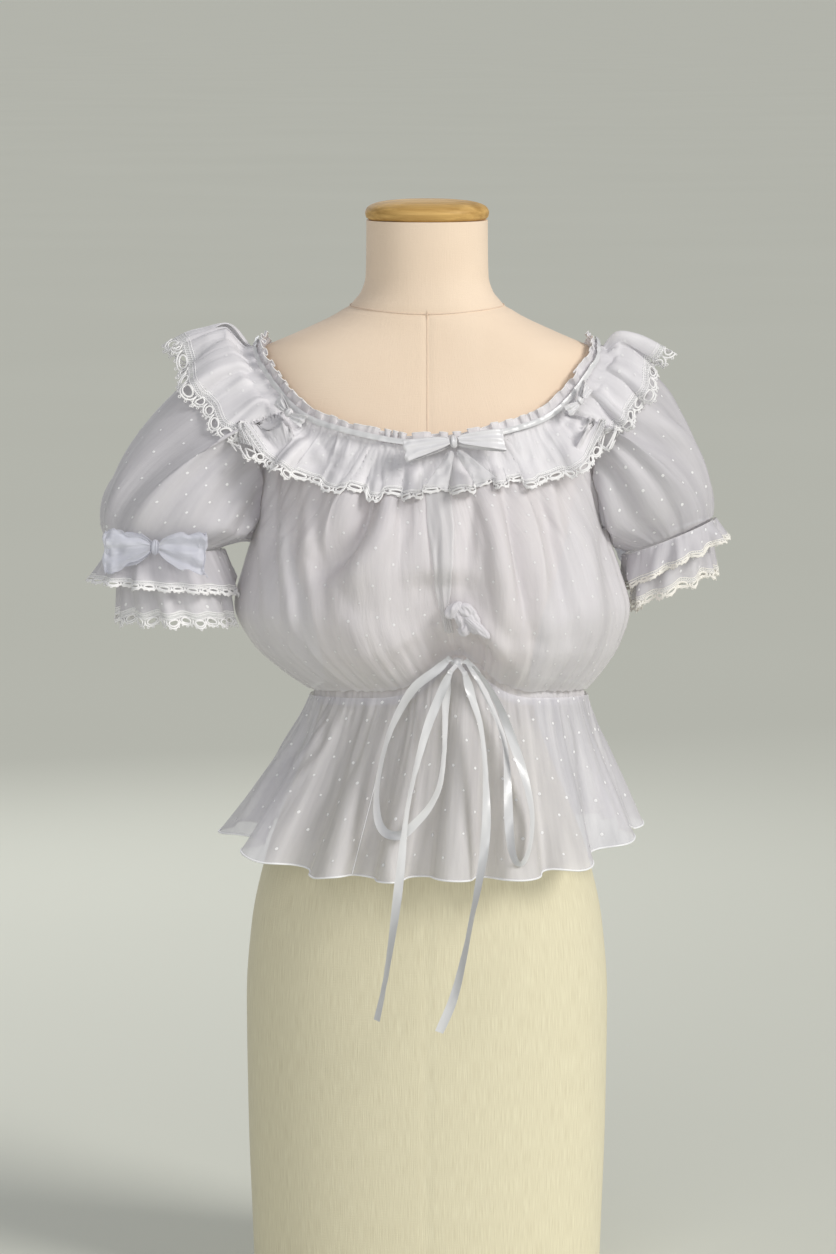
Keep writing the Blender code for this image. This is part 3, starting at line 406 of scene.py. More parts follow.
def off_form(points, ease):
    """Moves any point that would lie within ease of the form straight out from its axis."""
    x, y, height = np.moveaxis(points, -1, 0)
    angle = np.arctan2(x, -y)
    return point(angle, np.maximum(np.hypot(x, y), form_radius(height, angle) + ease), height)


def neck_height(angle):
    low = np.where(np.cos(angle) > 0, NECK_FRONT, NECK_BACK)
    side = np.abs(np.sin(angle))
    return low + NECK_CURVE * side**2 + (NECK_SHOULDER - NECK_CURVE - low) * side**NECK_TURN


def neck_ring(angle):
    """The neck seam on the form's surface, with its outward normal and the way up across the seam."""
    small = 0.004
    height = neck_height(angle)
    here = on_form(angle, height)
    outward = unit(np.cross(on_form(angle + small, height) - here, on_form(angle, height + small) - here))
    run = unit(on_form(angle + small, neck_height(angle + small)) - here)
    upward = unit(np.cross(outward, run))
    return here, outward, -upward if np.mean(upward[..., 2]) < 0 else upward


def waist_height(angle):
    degrees = np.degrees((angle + np.pi) % (2 * np.pi) - np.pi)
    pull = bell((degrees - PULL_ANGLE) / PULL_WIDTH)
    return WAIST + WAIST_RISE * np.maximum(np.cos(angle), 0) + WAIST_PULL * pull


def waist_pulled(angle):
    """How far the waist is pulled up, as a share of its highest place."""
    return (waist_height(angle) - WAIST) / (WAIST_RISE + WAIST_PULL)


def ridges(angle, table):
    """Each row of a table of soft ridges, with its share at each angle."""
    for row in table.rows:
        off = (np.degrees(angle) - row["angle"] + 180) % 360 - 180
        yield row, bell(off / row["width"])


def flutes(angle):
    return sum(row["depth"] * share for row, share in ridges(angle, FLUTES))


def bodice_folds(angle, way):
    lift = np.zeros(np.broadcast(angle, way).shape)
    for row, share in ridges(angle, FOLDS):
        reach = np.clip((way - row["start"]) / (row["end"] - row["start"]), 0, 1)
        lift = lift + row["depth"] * share * arch(reach)
    return lift


def bodice_section(angle, way):
    height, centre, half_width, front, back = BODICE.at(way)
    radius = oval(angle, half_width, front, back) + bodice_folds(angle, way)
    pull_in = arch(np.clip((way - 0.5) / 0.5, 0, 1)) * ramp(way, 0.5, 0.66)
    radius = radius - PULL_IN * waist_pulled(angle) ** 2 * pull_in
    return point(angle, radius, height + (waist_height(angle) - WAIST) * ramp(way, 0.45, 1.0), centre)


def bodice_point(angle, way):
    """The blouse's body between the neck seam (way 0) and the waist seam (way 1)."""
    start = off_form(bodice_section(angle, 0 * way), EASE)
    neck, outward, _ = neck_ring(angle + 0 * way)
    shift = (neck + outward * EASE - start) * (1 - ramp(way, 0.0, 0.42))[..., None]
    return off_form(bodice_section(angle, way) + shift, EASE)


def off_bodice(points, ease):
    """Moves any point that would lie within ease of the blouse's body straight out from its middle."""
    x, y, height = np.moveaxis(points, -1, 0)
    way = smooth(height, BODICE["height"][::-1], BODICE["way"][::-1])
    centre = smooth(way, BODICE["way"], BODICE["centre"])
    angle = np.arctan2(x - centre, -y)
    skin = bodice_section(angle, way)
    least = np.hypot(skin[..., 0] - centre, skin[..., 1]) + ease
    return point(angle, np.maximum(np.hypot(x - centre, y), least), height, centre)


def seam_angle(way, fore):
    """The angle of the raglan seam (above the underarm) or the side seam (below it), in degrees."""
    share = np.clip(way / UNDERARM, 0, 1) ** 0.8
    front = FRONT_REACH + (90 - FRONT_REACH) * share
    return np.where(fore > 0, front, 180 - BACK_REACH + (BACK_REACH - 90) * share)


def armhole(side, cuff_angle):
    """The points of one armhole that belong to angles round the cuff: 0 is outermost and 90 the front."""
    fore = np.where(cuff_angle >= 0, 1, -1)
    turn = np.abs(cuff_angle)
    reach = np.where(fore > 0, FRONT_REACH, 180 - BACK_REACH)
    neck_angle = 90 + (reach - 90) * np.clip(turn / SHOULDER_SPAN, 0, 1)
    way = UNDERARM * np.clip((turn - SHOULDER_SPAN) / (180 - SHOULDER_SPAN), 0, 1) ** 0.9
    angle = side * np.radians(np.where(turn < SHOULDER_SPAN, neck_angle, seam_angle(way, fore)))
    return bodice_point(angle, way) + point(angle, UNDERARM_LIFT * ramp(turn, 80, 140), 0.0)


def cuff_frame(row):
    """The cuff's centre, its axis down the arm, and its directions outwards and to the front."""
    side = row["side"]
    axis = unit(np.array([side * row["tilt"], -CUFF_FRONT, -1.0]))
    out = unit(np.cross(AHEAD, axis) * side)
    front = unit(np.cross(out, axis) * side)
    centre = np.array([row["cuff_x"], row["cuff_y"], row["cuff_z"]])
    return centre, axis, out * np.sign(out[0] * side), front * np.sign(-front[1])


def cuff_ring(row, angle, radius, drop):
    """A ring round the cuff, dropped along the way its frills hang, and the way each point faces."""
    centre, _, out, front = cuff_frame(row)
    hang = unit(np.array([-row["side"] * row["hang_in"], 0.0, -1.0]))
    turn = np.cos(angle)[..., None] * out + np.sin(angle)[..., None] * front
    return centre + turn * np.asarray(radius)[..., None] + hang * np.asarray(drop)[..., None], turn


def sleeve_point(row, cuff_angle, way):
    """The puff sleeve between its armhole (way 0) and its cuff (way 1), a Bezier along each rib."""
    start = armhole(row["side"], cuff_angle)
    angle = np.radians(cuff_angle)
    end, turn = cuff_ring(row, angle, row["cuff_radius"] + 0 * angle, 0 * angle)
    outer, fore = 0.5 + 0.5 * np.cos(angle), np.sin(angle)
    leave = np.stack([
        row["side"] * (0.022 + (row["start_out"] - 0.022) * outer**1.2),
        -0.034 * fore * (1 - 0.45 * outer),
        -0.014 * (1 - outer) - 0.004,
    ], axis=-1)
    swell = 0.006 + (row["puff_out"] - 0.006) * outer + 0.026 * np.abs(fore)
    rise = 0.012 + (row["puff_up"] - 0.012) * (0.25 + 0.75 * outer)
    bulge = end + turn * swell[..., None] - cuff_frame(row)[1] * rise[..., None]
    share = way[..., None]
    ribs = (1 - share) ** 3 * start + 3 * (1 - share) ** 2 * share * (start + leave)
    ribs = ribs + 3 * (1 - share) * share**2 * bulge + share**3 * end
    pleat = 0.003 * np.cos(12 * angle + 0.7 * np.sin(3 * angle)) * arch(way)
    hung = off_form(ribs + turn * pleat[..., None], 2 * EASE)
    return off_bodice(hung, SIDE_EASE * ramp(way, 0.0, 0.35) - 0.02 * (1 - ramp(way, 0.0, 0.12)))


def tier_point(row, angle, way, lower):
    """One ruffle tier of a cuff: the lower one hangs under the band, the upper one stands over it."""
    waves = (9 if lower else 10) * angle + 0.6 * np.sin(2 * angle + row["side"])
    fold = (0.5 + 0.5 * np.cos(waves)) * way
    outer = 0.5 + 0.5 * np.cos(angle)
    spread = FRILL_FLARE * (0.3 + 0.7 * outer) + (0 if lower else UPPER_FLARE * outer)
    flare = row["flare"] * spread * way + FRILL_FOLD * fold * (0.4 + 0.6 * outer)
    if lower:
        drop = CUFF_BAND + 2 * SEAM + (row["lower_tier"] - CUFF_BAND) * way
    else:
        flare = flare + TIER_GAP
        drop = 0.001 + (row["upper_tier"] - 0.01 * outer) * way
    points = cuff_ring(row, angle, row["cuff_radius"] + flare, drop)[0]
    return off_bodice(points, SIDE_EASE + (TIER_GAP if lower else 0))


def neck_turns(middle, count):
    """Angles across one half of the neck, closest together where the seam turns up over the shoulders."""
    spread = np.sin(np.linspace(-1, 1, count) * math.radians(NECK_SPREAD))
    return np.radians(middle + NECK_REACH * spread / spread[-1])


def fine_ruffle(angle, way):
    """The neck ruffle without its folds: those are added along its length."""
    here, outward, _ = neck_ring(angle)
    reach, fall, hump = RUFFLE.at((np.degrees(angle) + 180) % 360 - 180)
    rise = hump * arch(0.82 * way) * ramp(way, 0.12, 0.5) - (0.0012 + fall * way)
    reach = reach * way**1.5 + 0.0035 * way * (1 - 0.6 * np.abs(np.sin(angle)) ** 4)
    return here + outward * FRILL_LIFT + point(angle, reach, rise + NECK_LAP * (1 - way))


def waist_oval(angle):
    last = BODICE.rows[-1]
    return oval(angle, last["half_width"], last["front"], last["back"]) - 0.001


def casing_point(angle, way):
    """The waist casing, a narrow band round the waist seam."""
    height = waist_height(angle) - SEAM - CASING * way
    return point(angle, waist_oval(angle), height, BODICE.rows[-1]["centre"])


def peplum_point(angle, way):
    """The peplum from under the waist casing (way 0) to its fluted hem (way 1)."""
    start, flute = waist_oval(angle), flutes(angle)
    end = oval(angle, HEM_HALF_WIDTH, HEM_DEPTH, HEM_DEPTH)
    radius = start + (end - start) * way**0.88 + flute * way**1.15
    high = waist_height(angle) - CASING - 2 * SEAM
    rest = np.where(np.cos(angle) > 0, HEM_FRONT, HEM_BACK)
    hem = rest + (HEM_SIDE - rest) * np.abs(np.sin(angle)) ** 5
    centre = BODICE.rows[-1]["centre"]
    height = high + (hem - FLUTE_DROP * flute - high) * way
    return point(angle, radius, height, centre + (HEM_CENTRE - centre) * way)


def peplum_front(x, z):
    """How far the peplum reaches to the front at one place, as a positive depth."""
    turn, share = grid(np.radians(np.linspace(-40, 45, 171)), np.linspace(0, 1, 81))
    skin = peplum_point(turn, share).reshape(-1, 3)
    near = np.hypot(skin[:, 0] - x, skin[:, 2] - np.clip(z, HEM_FRONT, WAIST)) < 0.012
    return -skin[near][:, 1].min()


def noise1(at, seed):
    """Smooth random values from -1 to 1, one hill or hollow for each step of 1."""
    table = np.random.RandomState(seed).uniform(-1, 1, 512)
    low = np.floor(at).astype(int)
    share = ramp(at - low, 0, 1)
    return table[low % 512] * (1 - share) + table[(low + 1) % 512] * share


def noise2(x, y, seed):
    table = np.random.RandomState(seed).uniform(-1, 1, (64, 64))
    x, y = np.broadcast_arrays(x, y)
    a, b = np.floor(x).astype(int), np.floor(y).astype(int)
    p, q = ramp(x - a, 0, 1), ramp(y - b, 0, 1)
    low, high = (table[a % 64, c % 64] * (1 - p) + table[(a + 1) % 64, c % 64] * p for c in (b, b + 1))
    return low * (1 - q) + high * q


def gathers(s, t, pitch, seed, wander=0.35):
    """Fine folds that run along t and sway a little, their spacing about the pitch."""
    sway = wander * noise2(s / (pitch * 5), t / 0.045, seed + 1)
    strength = 0.65 + 0.35 * noise2(s / (pitch * 3), t / 0.06, seed + 2)
    return noise1(2 * s / pitch + 2 * sway, seed) * strength


def gathered(cloth, seed, *rows):
    """The sum of fine folds from rows of depth, pitch, step of the seed, wander and where they show."""
    s, t = cloth.grid_st()
    return sum(depth * gathers(s, t, pitch, seed + step, wander) * where
               for depth, pitch, step, wander, where in rows)


def to_edge(count):
    """How many columns away the nearer side edge is."""
    return np.minimum(np.arange(count), np.arange(count)[::-1])[None]


def closing(cloth, width):
    """Fades out at a ring's own seam what depends on the length along it, because a ring has to close."""
    s = cloth.grid_st()[0]
    return ramp(np.minimum(s, cloth.s[-1] - s), 0.0, width)


def soften(lift, times=1):
    """Averages a grid of numbers with its neighbours."""
    for _ in range(times):
        lift = (lift + np.roll(lift, 1, 1) + np.roll(lift, -1, 1)) / 3
        lift[1:-1] = (lift[1:-1] + lift[2:] + lift[:-2]) / 3
    return lift


def crease_lift(points, rows):
    """Soft ridges and troughs along short curves, as seen from the front or the back."""
    x, z = points[..., 0], points[..., 2]
    lift = np.zeros(x.shape)
    share = np.linspace(0, 1, 25)[:, None]
    for *ends, width, depth in rows:
        first, bend, last = np.reshape(ends, (3, 2))
        curve = (1 - share) ** 2 * first + 2 * share * (1 - share) * bend + share**2 * last
        best, where = np.full(x.shape, 9.0), np.zeros(x.shape)
        for number, (a, b) in enumerate(curve):
            apart = np.hypot(x - a, z - b)
            where = np.where(apart < best, number / 24, where)
            best = np.minimum(apart, best)
        lift += depth * bell(best / width) * np.clip(arch(0.08 + 0.84 * where), 0, 1)
    return lift


# ---------------------------------------------------------------- cloth and meshes

class Cloth:
    """A grid of points on one piece of cloth: rows run down it and columns across it."""

    def __init__(self, points, ring=False, faces_out=None):
        self.ring, self.sign = ring, 1.0
        self.set(points)
        if faces_out is not None and (self.normal[:, : points.shape[1]] * faces_out).sum(axis=-1).mean() < 0:
            self.sign = -1.0
            self.normal = -self.normal

    def set(self, points):
        self.points = points
        self.wide = wide = np.concatenate([points, points[:, :1]], axis=1) if self.ring else points
        self.s, self.t = (
            np.append(0, np.cumsum(np.linalg.norm(np.diff(wide, axis=axis), axis=2).mean(axis=1 - axis)))
            for axis in (1, 0)
        )
        across, down = np.gradient(wide, self.s, axis=1), np.gradient(wide, self.t, axis=0)
        if self.ring:
            across[:, 0] = across[:, -1] = (wide[:, 1] - wide[:, -2]) / (self.s[1] + self.s[-1] - self.s[-2])
        self.across, self.down = across, down
        normal = np.cross(across, down)
        self.normal = self.sign * normal / (np.linalg.norm(normal, axis=-1, keepdims=True) + 1e-12)

    def lift(self, amount):
        """Moves each point along its normal."""
        self.set(self.points + self.normal[:, : self.points.shape[1]] * np.asarray(amount)[..., None])
        return self

    def grid_st(self):
        return np.meshgrid(self.s[: self.points.shape[1]], self.t)

    def sample(self, s, t, *fields):
        if self.ring:
            s = np.mod(s, self.s[-1])
        pairs = (s, self.s), (t, self.t)
        column_at, row_at = (np.interp(at, known, np.arange(len(known))) for at, known in pairs)
        a = np.minimum(column_at.astype(int), len(self.s) - 2)
        b = np.minimum(row_at.astype(int), len(self.t) - 2)
        p, q = (column_at - a)[..., None], (row_at - b)[..., None]
        low, high = ([field[c, a] * (1 - p) + field[c, a + 1] * p for field in fields] for c in (b, b + 1))
        return [one * (1 - q) + other * q for one, other in zip(low, high)]

    def at(self, s, t, off=0.0):
        place, normal = self.sample(s, t, self.wide, self.normal)
        normal = unit(normal + 1e-12)
        return place + normal * np.asarray(off)[..., None], normal


def ring_cloth(points, facing):
    return Cloth(points, ring=True, faces_out=facing)


def outwards(angle):
    return point(angle, 1.0, 0.0)


def quads(rows, columns):
    row, place = np.meshgrid(np.arange(rows), np.arange(columns), indexing="ij")
    return row.ravel(), place.ravel()


class Mesh:
    """Points and faces gathered for one object, each face with a material number and cloth coordinates."""

    def __init__(self):
        self.points, self.faces, self.slots, self.st, self.count = [], [], [], [], 0

    def add(self, points, faces, slot=0, st=None):
        points = np.reshape(points, (-1, 3)).astype(float)
        self.points.append(points)
        corners = 0
        for face in faces:
            self.faces.append([int(corner) + self.count for corner in face])
            corners += len(face)
        self.slots += [slot] * len(faces)
        flat = np.zeros((corners, 3))
        if st is not None:
            flat[:, :2] = np.reshape(st, (-1, 2))
        self.st.append(flat)
        self.count += len(points)
        return self

    def cloth(self, cloth, slot=0, rows=slice(None)):
        points, s, t = cloth.points[rows], cloth.s, cloth.t[rows]
        high, wide = points.shape[:2]
        row, place = quads(high - 1, wide if cloth.ring else wide - 1)
        corners = ((row, place), (row, place + 1), (row + 1, place + 1), (row + 1, place))
        faces = np.stack([a * wide + b % wide for a, b in corners], axis=1)
        st = np.stack([np.stack([s[b], t[a]], 1) for a, b in corners], axis=1)
        if cloth.sign > 0:
            faces, st = faces[:, ::-1], st[:, ::-1]
        return self.add(points, faces, slot, st)

    def dots(self, cloth, pitch=0.0225, rise=0.0132, radius=0.00145, seed=1, low=0.004, high=None):
        """The raised dots woven into the cloth, in staggered rows that follow it."""
        rng = np.random.RandomState(seed)
        spots, end = [], (cloth.t[-1] if high is None else high) - 0.003
        for number, t in enumerate(np.arange(cloth.t[0] + low, end, rise)):
            s = np.arange(cloth.s[0] + 0.004, cloth.s[-1] - 0.003, pitch) + (number % 2) * pitch / 2
            s = s[s < cloth.s[-1] - 0.003]
            stray = rng.uniform(-DOT_STRAY, DOT_STRAY, (len(s), 2))
            spots.append(np.stack([s, np.full(len(s), t)], axis=1) + stray)
        spots = np.concatenate(spots)
        s, t = spots[:, :1], spots[:, 1:]
        turn = np.arange(8) * math.pi / 4
        stretch = cloth.sample(s[:, 0], t[:, 0], cloth.across, cloth.down)
        wide, tall = (np.maximum(np.linalg.norm(field, axis=1)[:, None], 0.3) for field in stretch)
        size = radius * rng.uniform(0.72, 1.15, (len(spots), 1))
        rim_t = np.clip(t + size * np.sin(turn) / tall, cloth.t[0], cloth.t[-1])
        base, rims = np.arange(len(spots)) * 9, np.arange(8)[:, None]
        fans = np.broadcast_arrays(base, base + 1 + rims, base + 1 + (rims + 1) % 8)
        faces = np.stack(fans, axis=-1).reshape(-1, 3)
        for side in (1.0, -1.0):
            rim, _ = cloth.at(s + size * np.cos(turn) / wide, rim_t, side * DOT_RIM)
            middle, _ = cloth.at(s, t, side * DOT_RISE)
            points = np.concatenate([middle, rim], axis=1)
            self.add(points, faces[:, ::-1] if side * cloth.sign > 0 else faces, 1)
        return self

    def tube(self, path, facing, radius, slot=0, sides=6, closed=False, flat=1.0):
        """A round or flattened cord along a path; its flat side faces the given way."""
        path = np.asarray(path, float)
        step = np.roll(path, -1, 0) - np.roll(path, 1, 0) if closed else np.gradient(path, axis=0)
        step = unit(step + 1e-12)
        side = unit(np.cross(step, facing) + 1e-12)
        up = np.cross(side, step)
        turn = (np.arange(sides) * 2 * math.pi / sides)[:, None]
        points = path[:, None] + radius * (np.cos(turn) * side[:, None] + flat * np.sin(turn) * up[:, None])
        count = len(path)
        row, place = quads(count if closed else count - 1, sides)
        after, beside = (row + 1) % count, (place + 1) % sides
        corners = (row, place), (after, place), (after, beside), (row, beside)
        faces = np.stack([a * sides + b for a, b in corners], axis=1)
        ends = [] if closed else [range(sides), range(count * sides - 1, count * sides - 1 - sides, -1)]
        return self.add(points, [*faces.tolist(), *ends], slot)

    def cord_on(self, cloth, s, t, radius, slot=0, sides=5, off=0.0, **shape):
        """A cord along a line on the cloth."""
        path, facing = cloth.at(*np.broadcast_arrays(s, t), off)
        return self.tube(path, facing, radius, slot, sides, **shape)

    def edges(self, cloth, radius):
        """Corded side edges."""
        for place in (0, -1):
            self.tube(cloth.points[:, place], cloth.normal[:, place], radius, 0, 4)
        return self

    def caps(self, cloth):
        """Flat ends on a ring."""
        for row, flip in ((0, 1), (-1, -1)):
            self.add(cloth.points[row], [list(range(cloth.points.shape[1]))[::flip]])
        return self

    def make(self, name, *finishes):
        mesh = bpy.data.meshes.new(name)
        mesh.from_pydata(np.concatenate(self.points).tolist(), [], self.faces)
        mesh.update()
        st = mesh.attributes.new("st", "FLOAT_VECTOR", "CORNER")
        st.data.foreach_set("vector", np.concatenate(self.st).ravel().astype(np.float32))
        for finish in finishes:
            mesh.materials.append(FINISH[finish])
        mesh.polygons.foreach_set("material_index", np.array(self.slots, np.int32))
        mesh.shade_smooth()
        return link_object(name, mesh)

    def hang(self, node, *finishes, kind="cloth", slot="dotted_organza"):
        """Makes a piece and lets it stand for its CAD node."""
        made = self.make(f"{node}_{kind}", *finishes)
        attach(made, "root")
        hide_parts(node)
        return made


def link_object(name, data):
    made = bpy.data.objects.new(name, data)
    bpy.context.scene.collection.objects.link(made)
    return made


def clear_of(points, skins, gap, reach=0.03, passes=2):
    """Moves each point that would lie within the gap of a cloth out along the cloth's nearest normal."""
    moved = points.reshape(-1, 3).copy()
    for skin in skins:
        places = skin.points.reshape(-1, 3)
        facing = skin.normal[:, : skin.points.shape[1]].reshape(-1, 3)
        tree = KDTree(len(places))
        for number, place in enumerate(places):
            tree.insert(place, number)
        tree.balance()
        low, high = places.min(axis=0) - reach, places.max(axis=0) + reach
        for _ in range(passes):
            for number in np.nonzero(((moved > low) & (moved < high)).all(axis=1))[0]:
                _, found, apart = tree.find(moved[number])
                above = float(np.dot(moved[number] - places[found], facing[found]))
                if apart < reach and above < gap:
                    moved[number] += facing[found] * (gap - above)
    return moved.reshape(points.shape)


# ---------------------------------------------------------------- materials

def tune(made, **values):
    """Sets a node's inputs, each named with _ for a space."""
    for name, value in values.items():
        made.inputs[name.replace("_", " ")].default_value = value
    return made


class Finish:
    """A node material on the cloth's own coordinates in metres, or on the object's."""

    def __init__(self, name):
        self.made = bpy.data.materials.new(name)
        self.made.use_nodes = True
        self.tree = self.made.node_tree
        self.shader = self.tree.nodes["Principled BSDF"]

    def node(self, kind, *inputs, **settings):
        """A node with its settings, its first inputs linked to other nodes' outputs."""
        made = self.tree.nodes.new(kind)
        for key, value in settings.items():
            setattr(made, key, value)
        for start, end in zip(inputs, made.inputs):
            self.tree.links.new(start, end)
        return made

    def link(self, start, name, end=None):
        self.tree.links.new(start, (end or self.shader).inputs[name])

    def scaled(self, source, *scale):
        made = self.node("ShaderNodeVectorMath", source, operation="MULTIPLY")
        made.inputs[1].default_value = scale
        return made.outputs[0]

    def st(self, along_s, along_t):
        """The cloth's own coordinates, in metres along and down it, multiplied."""
        st = self.node("ShaderNodeAttribute", attribute_name="st")
        return self.scaled(st.outputs["Vector"], along_s, along_t, 1.0)

    def place(self):
        return self.node("ShaderNodeTexCoord").outputs["Object"]

    def noise(self, vector, scale=1.0, detail=2.0, rough=0.5):
        made = tune(self.node("ShaderNodeTexNoise"), Scale=scale, Detail=detail, Roughness=rough)
        self.link(vector, "Vector", made)
        return made.outputs["Fac"]

    def threads(self, along_s, along_t, detail=1.0):
        return self.noise(self.st(along_s, along_t), 1.0, detail)

    def colour(self, factor, low, high, start=0.0, end=1.0):
        made = self.node("ShaderNodeValToRGB", factor)
        for element, position, colour in zip(made.color_ramp.elements, (start, end), (low, high)):
            element.position, element.color = position, (*colour, 1)
        return made.outputs["Color"]

    def bump(self, *rows):
        """Adds one bump after another, each a height and its distance."""
        last = None
        for height, distance in rows:
            made = tune(self.node("ShaderNodeBump"), Strength=1.0, Distance=distance)
            self.link(height, "Height", made)
            if last:
                self.link(last, "Normal", made)
            last = made.outputs["Normal"]
        self.link(last, "Normal")

    def done(self, **values):
        tune(self.shader, **values)
        return self.made


def organza(name, low, high, alpha, roughness=0.55, sheen=0.25, crinkle=0.0006):
    """Sheer plain weave: faint yarns, long soft crinkles, and long lighter and darker streaks down it, partly
    uneven yarn and partly painted light and shade of its fine gathers.
    """
    made = Finish(name)
    # The streaks' colour range is partly painted light and shade of the gathers, laid into the base colour.
    streak = made.threads(66.0, 6.0, 3.0)
    made.link(made.colour(streak, low, high, 0.32, 0.68), "Base Color")
    yarn, weft = made.threads(2600.0, 160.0), made.threads(160.0, 2600.0)
    made.bump((yarn, 0.0001), (weft, 0.0001), (made.threads(260.0, 34.0, 3.0), crinkle))
    return made.done(Roughness=roughness, Sheen_Weight=sheen, Sheen_Roughness=0.4, Alpha=alpha)


def grained(made, colour, scale, darker, end):
    """A finely broken matt surface on a material that has been started."""
    grain = made.noise(made.place(), scale)
    low = tuple(value * darker for value in colour)
    made.link(made.colour(grain, low, colour, 0.3, end), "Base Color")
    made.bump((grain, 0.0002))


def plain_thread(name, colour, roughness):
    """Matt cotton or flock."""
    made = Finish(name)
    grained(made, colour, 900.0, 0.93, 0.6)
    return made.done(Roughness=roughness)


def satin(name, low, high, roughness=0.27):
    made = Finish(name)
    streak, soft = made.threads(60.0, 2200.0, 2.0), made.threads(70.0, 20.0, 2.0)
    made.link(made.colour(soft, low, high, 0.3, 0.7), "Base Color")
    made.bump((streak, 0.00008), (soft, 0.0004))
    return made.done(Roughness=roughness, Sheen_Weight=0.15, Specular_IOR_Level=0.6)


def net(name, colour, cell, wire, veil):
    """Bobbin net: a square mesh of threads with nearly clear holes."""
    made = Finish(name)
    parts = made.node("ShaderNodeSeparateXYZ")
    made.link(made.st(1 / cell, 1 / cell), 0, parts)
    nearest = []
    for one, other, operation in (("X", "Y", "ADD"), ("Y", "X", "SUBTRACT")):
        lean = made.node("ShaderNodeMath", parts.outputs[one], parts.outputs[other], operation=operation)
        wave = made.node("ShaderNodeMath", lean.outputs[0], operation="PINGPONG")
        wave.inputs[1].default_value = 1.0
        nearest.append(wave.outputs[0])
    least = made.node("ShaderNodeMath", *nearest, operation="MINIMUM")
    thread = made.node("ShaderNodeMapRange")
    tune(thread, From_Min=wire, From_Max=wire + 0.12, To_Min=0.95, To_Max=veil)
    made.link(least.outputs[0], "Value", thread)
    made.link(thread.outputs[0], "Alpha")
    grained(made, colour, 700.0, 0.92, 0.7)
    return made.done(Roughness=0.75)


def form_cover(name):
    """Smooth knitted cover above the waist and fine upright-woven linen below it."""
    made = Finish(name)
    place = made.place()
    parts = made.node("ShaderNodeSeparateXYZ", place)
    upper = made.colour(made.noise(place, 9.0, 3.0), (0.85, 0.68, 0.52), (0.9, 0.735, 0.575), 0.3, 0.7)
    yarn, weft = made.threads(1900.0, 45.0, 2.0), made.threads(90.0, 1400.0, 2.0)
    lower = made.colour(yarn, (0.68, 0.62, 0.44), (0.82, 0.77, 0.57), 0.25, 0.75)
    share = tune(made.node("ShaderNodeMapRange"), From_Min=0.6, From_Max=0.61)
    made.link(parts.outputs["Z"], "Value", share)
    mix = made.node("ShaderNodeMix", data_type="RGBA")
    for start, end in ((share.outputs[0], "Factor"), (lower, 6), (upper, 7)):
        made.link(start, end, mix)
    made.link(mix.outputs[2], "Base Color")
    made.bump((yarn, 0.00022), (weft, 0.00014), (made.noise(place, 1400.0), 0.00008))
    return made.done(Roughness=0.88, Sheen_Weight=0.1)


def turned_wood(name):
    """Honey-coloured wood with long uneven grain under a thin varnish."""
    made = Finish(name)
    stretch = made.scaled(made.place(), 9.0, 75.0, 260.0)
    grain, fine = made.noise(stretch, 1.0, 5.0, 0.6), made.noise(stretch, 7.0, 3.0, 0.6)
    made.link(made.colour(grain, (0.45, 0.26, 0.075), (0.72, 0.46, 0.16), 0.34, 0.66), "Base Color")
    made.bump((grain, 0.0005), (fine, 0.0002))
    return made.done(Roughness=0.55, Specular_IOR_Level=0.25, Coat_Weight=0.08, Coat_Roughness=0.35)


def studio_floor(name):
    made = Finish(name)
    cloudy = made.noise(made.place(), 0.6)
    made.link(made.colour(cloudy, (0.7, 0.71, 0.63), (0.74, 0.75, 0.67)), "Base Color")
    return made.done(Roughness=0.9)


# Each organza's two colours span its streaks, which are partly painted light and shade of the gathers.
FINISH = {
    "cloth": organza("organza_white", (0.735, 0.713, 0.752), (0.85, 0.824, 0.858), 0.78),
    "frill": organza("organza_frill", (0.715, 0.697, 0.728), (0.868, 0.848, 0.874), 0.9),
    "sleeve": organza("organza_sleeve", (0.62, 0.602, 0.64), (0.75, 0.728, 0.764), 0.74),
    "peplum": organza("organza_peplum", (0.59, 0.578, 0.636), (0.825, 0.808, 0.858), 0.65),
    "bow": organza("organza_bow", (0.68, 0.69, 0.78), (0.8, 0.81, 0.895), 0.58, 0.45, 0.5, 0.0016),
    "tail": organza("organza_tail", (0.7, 0.69, 0.71), (0.82, 0.81, 0.825), 0.62, 0.45, 0.3),
    "dot": plain_thread("woven_dot", (0.88, 0.875, 0.885), 0.8),
    "faint_dot": plain_thread("woven_dot_faint", (0.82, 0.81, 0.825), 0.85),
    "cord": plain_thread("lace_cord", (0.93, 0.92, 0.92), 0.75),
    "ivory": plain_thread("lace_cord_ivory", (0.93, 0.9, 0.84), 0.75),
    "net": net("lace_net", (0.88, 0.875, 0.89), 0.0011, 0.18, 0.32),
    "satin": satin("ribbon_satin", (0.7, 0.69, 0.71), (0.83, 0.82, 0.84)),
    "warm_satin": satin("ribbon_satin_warm", (0.62, 0.62, 0.635), (0.75, 0.75, 0.76), 0.24),
    "edge": satin("rolled_edge", (0.88, 0.88, 0.9), (0.96, 0.96, 0.97), 0.4),
    "form": form_cover("form_linen"),
    "seam": plain_thread("form_seam", (0.8, 0.64, 0.51), 0.9),
    "wood": turned_wood("cap_wood_grain"),
    "floor": studio_floor("studio_floor"),
}


# ---------------------------------------------------------------- form

def seam_line(angle):
    """Height of the seam where the neck is sewn to the shoulders."""
    fore = np.cos(angle)
    return 0.9445 - 0.0055 * np.maximum(fore, 0) ** 2 + 0.002 * np.maximum(-fore, 0)


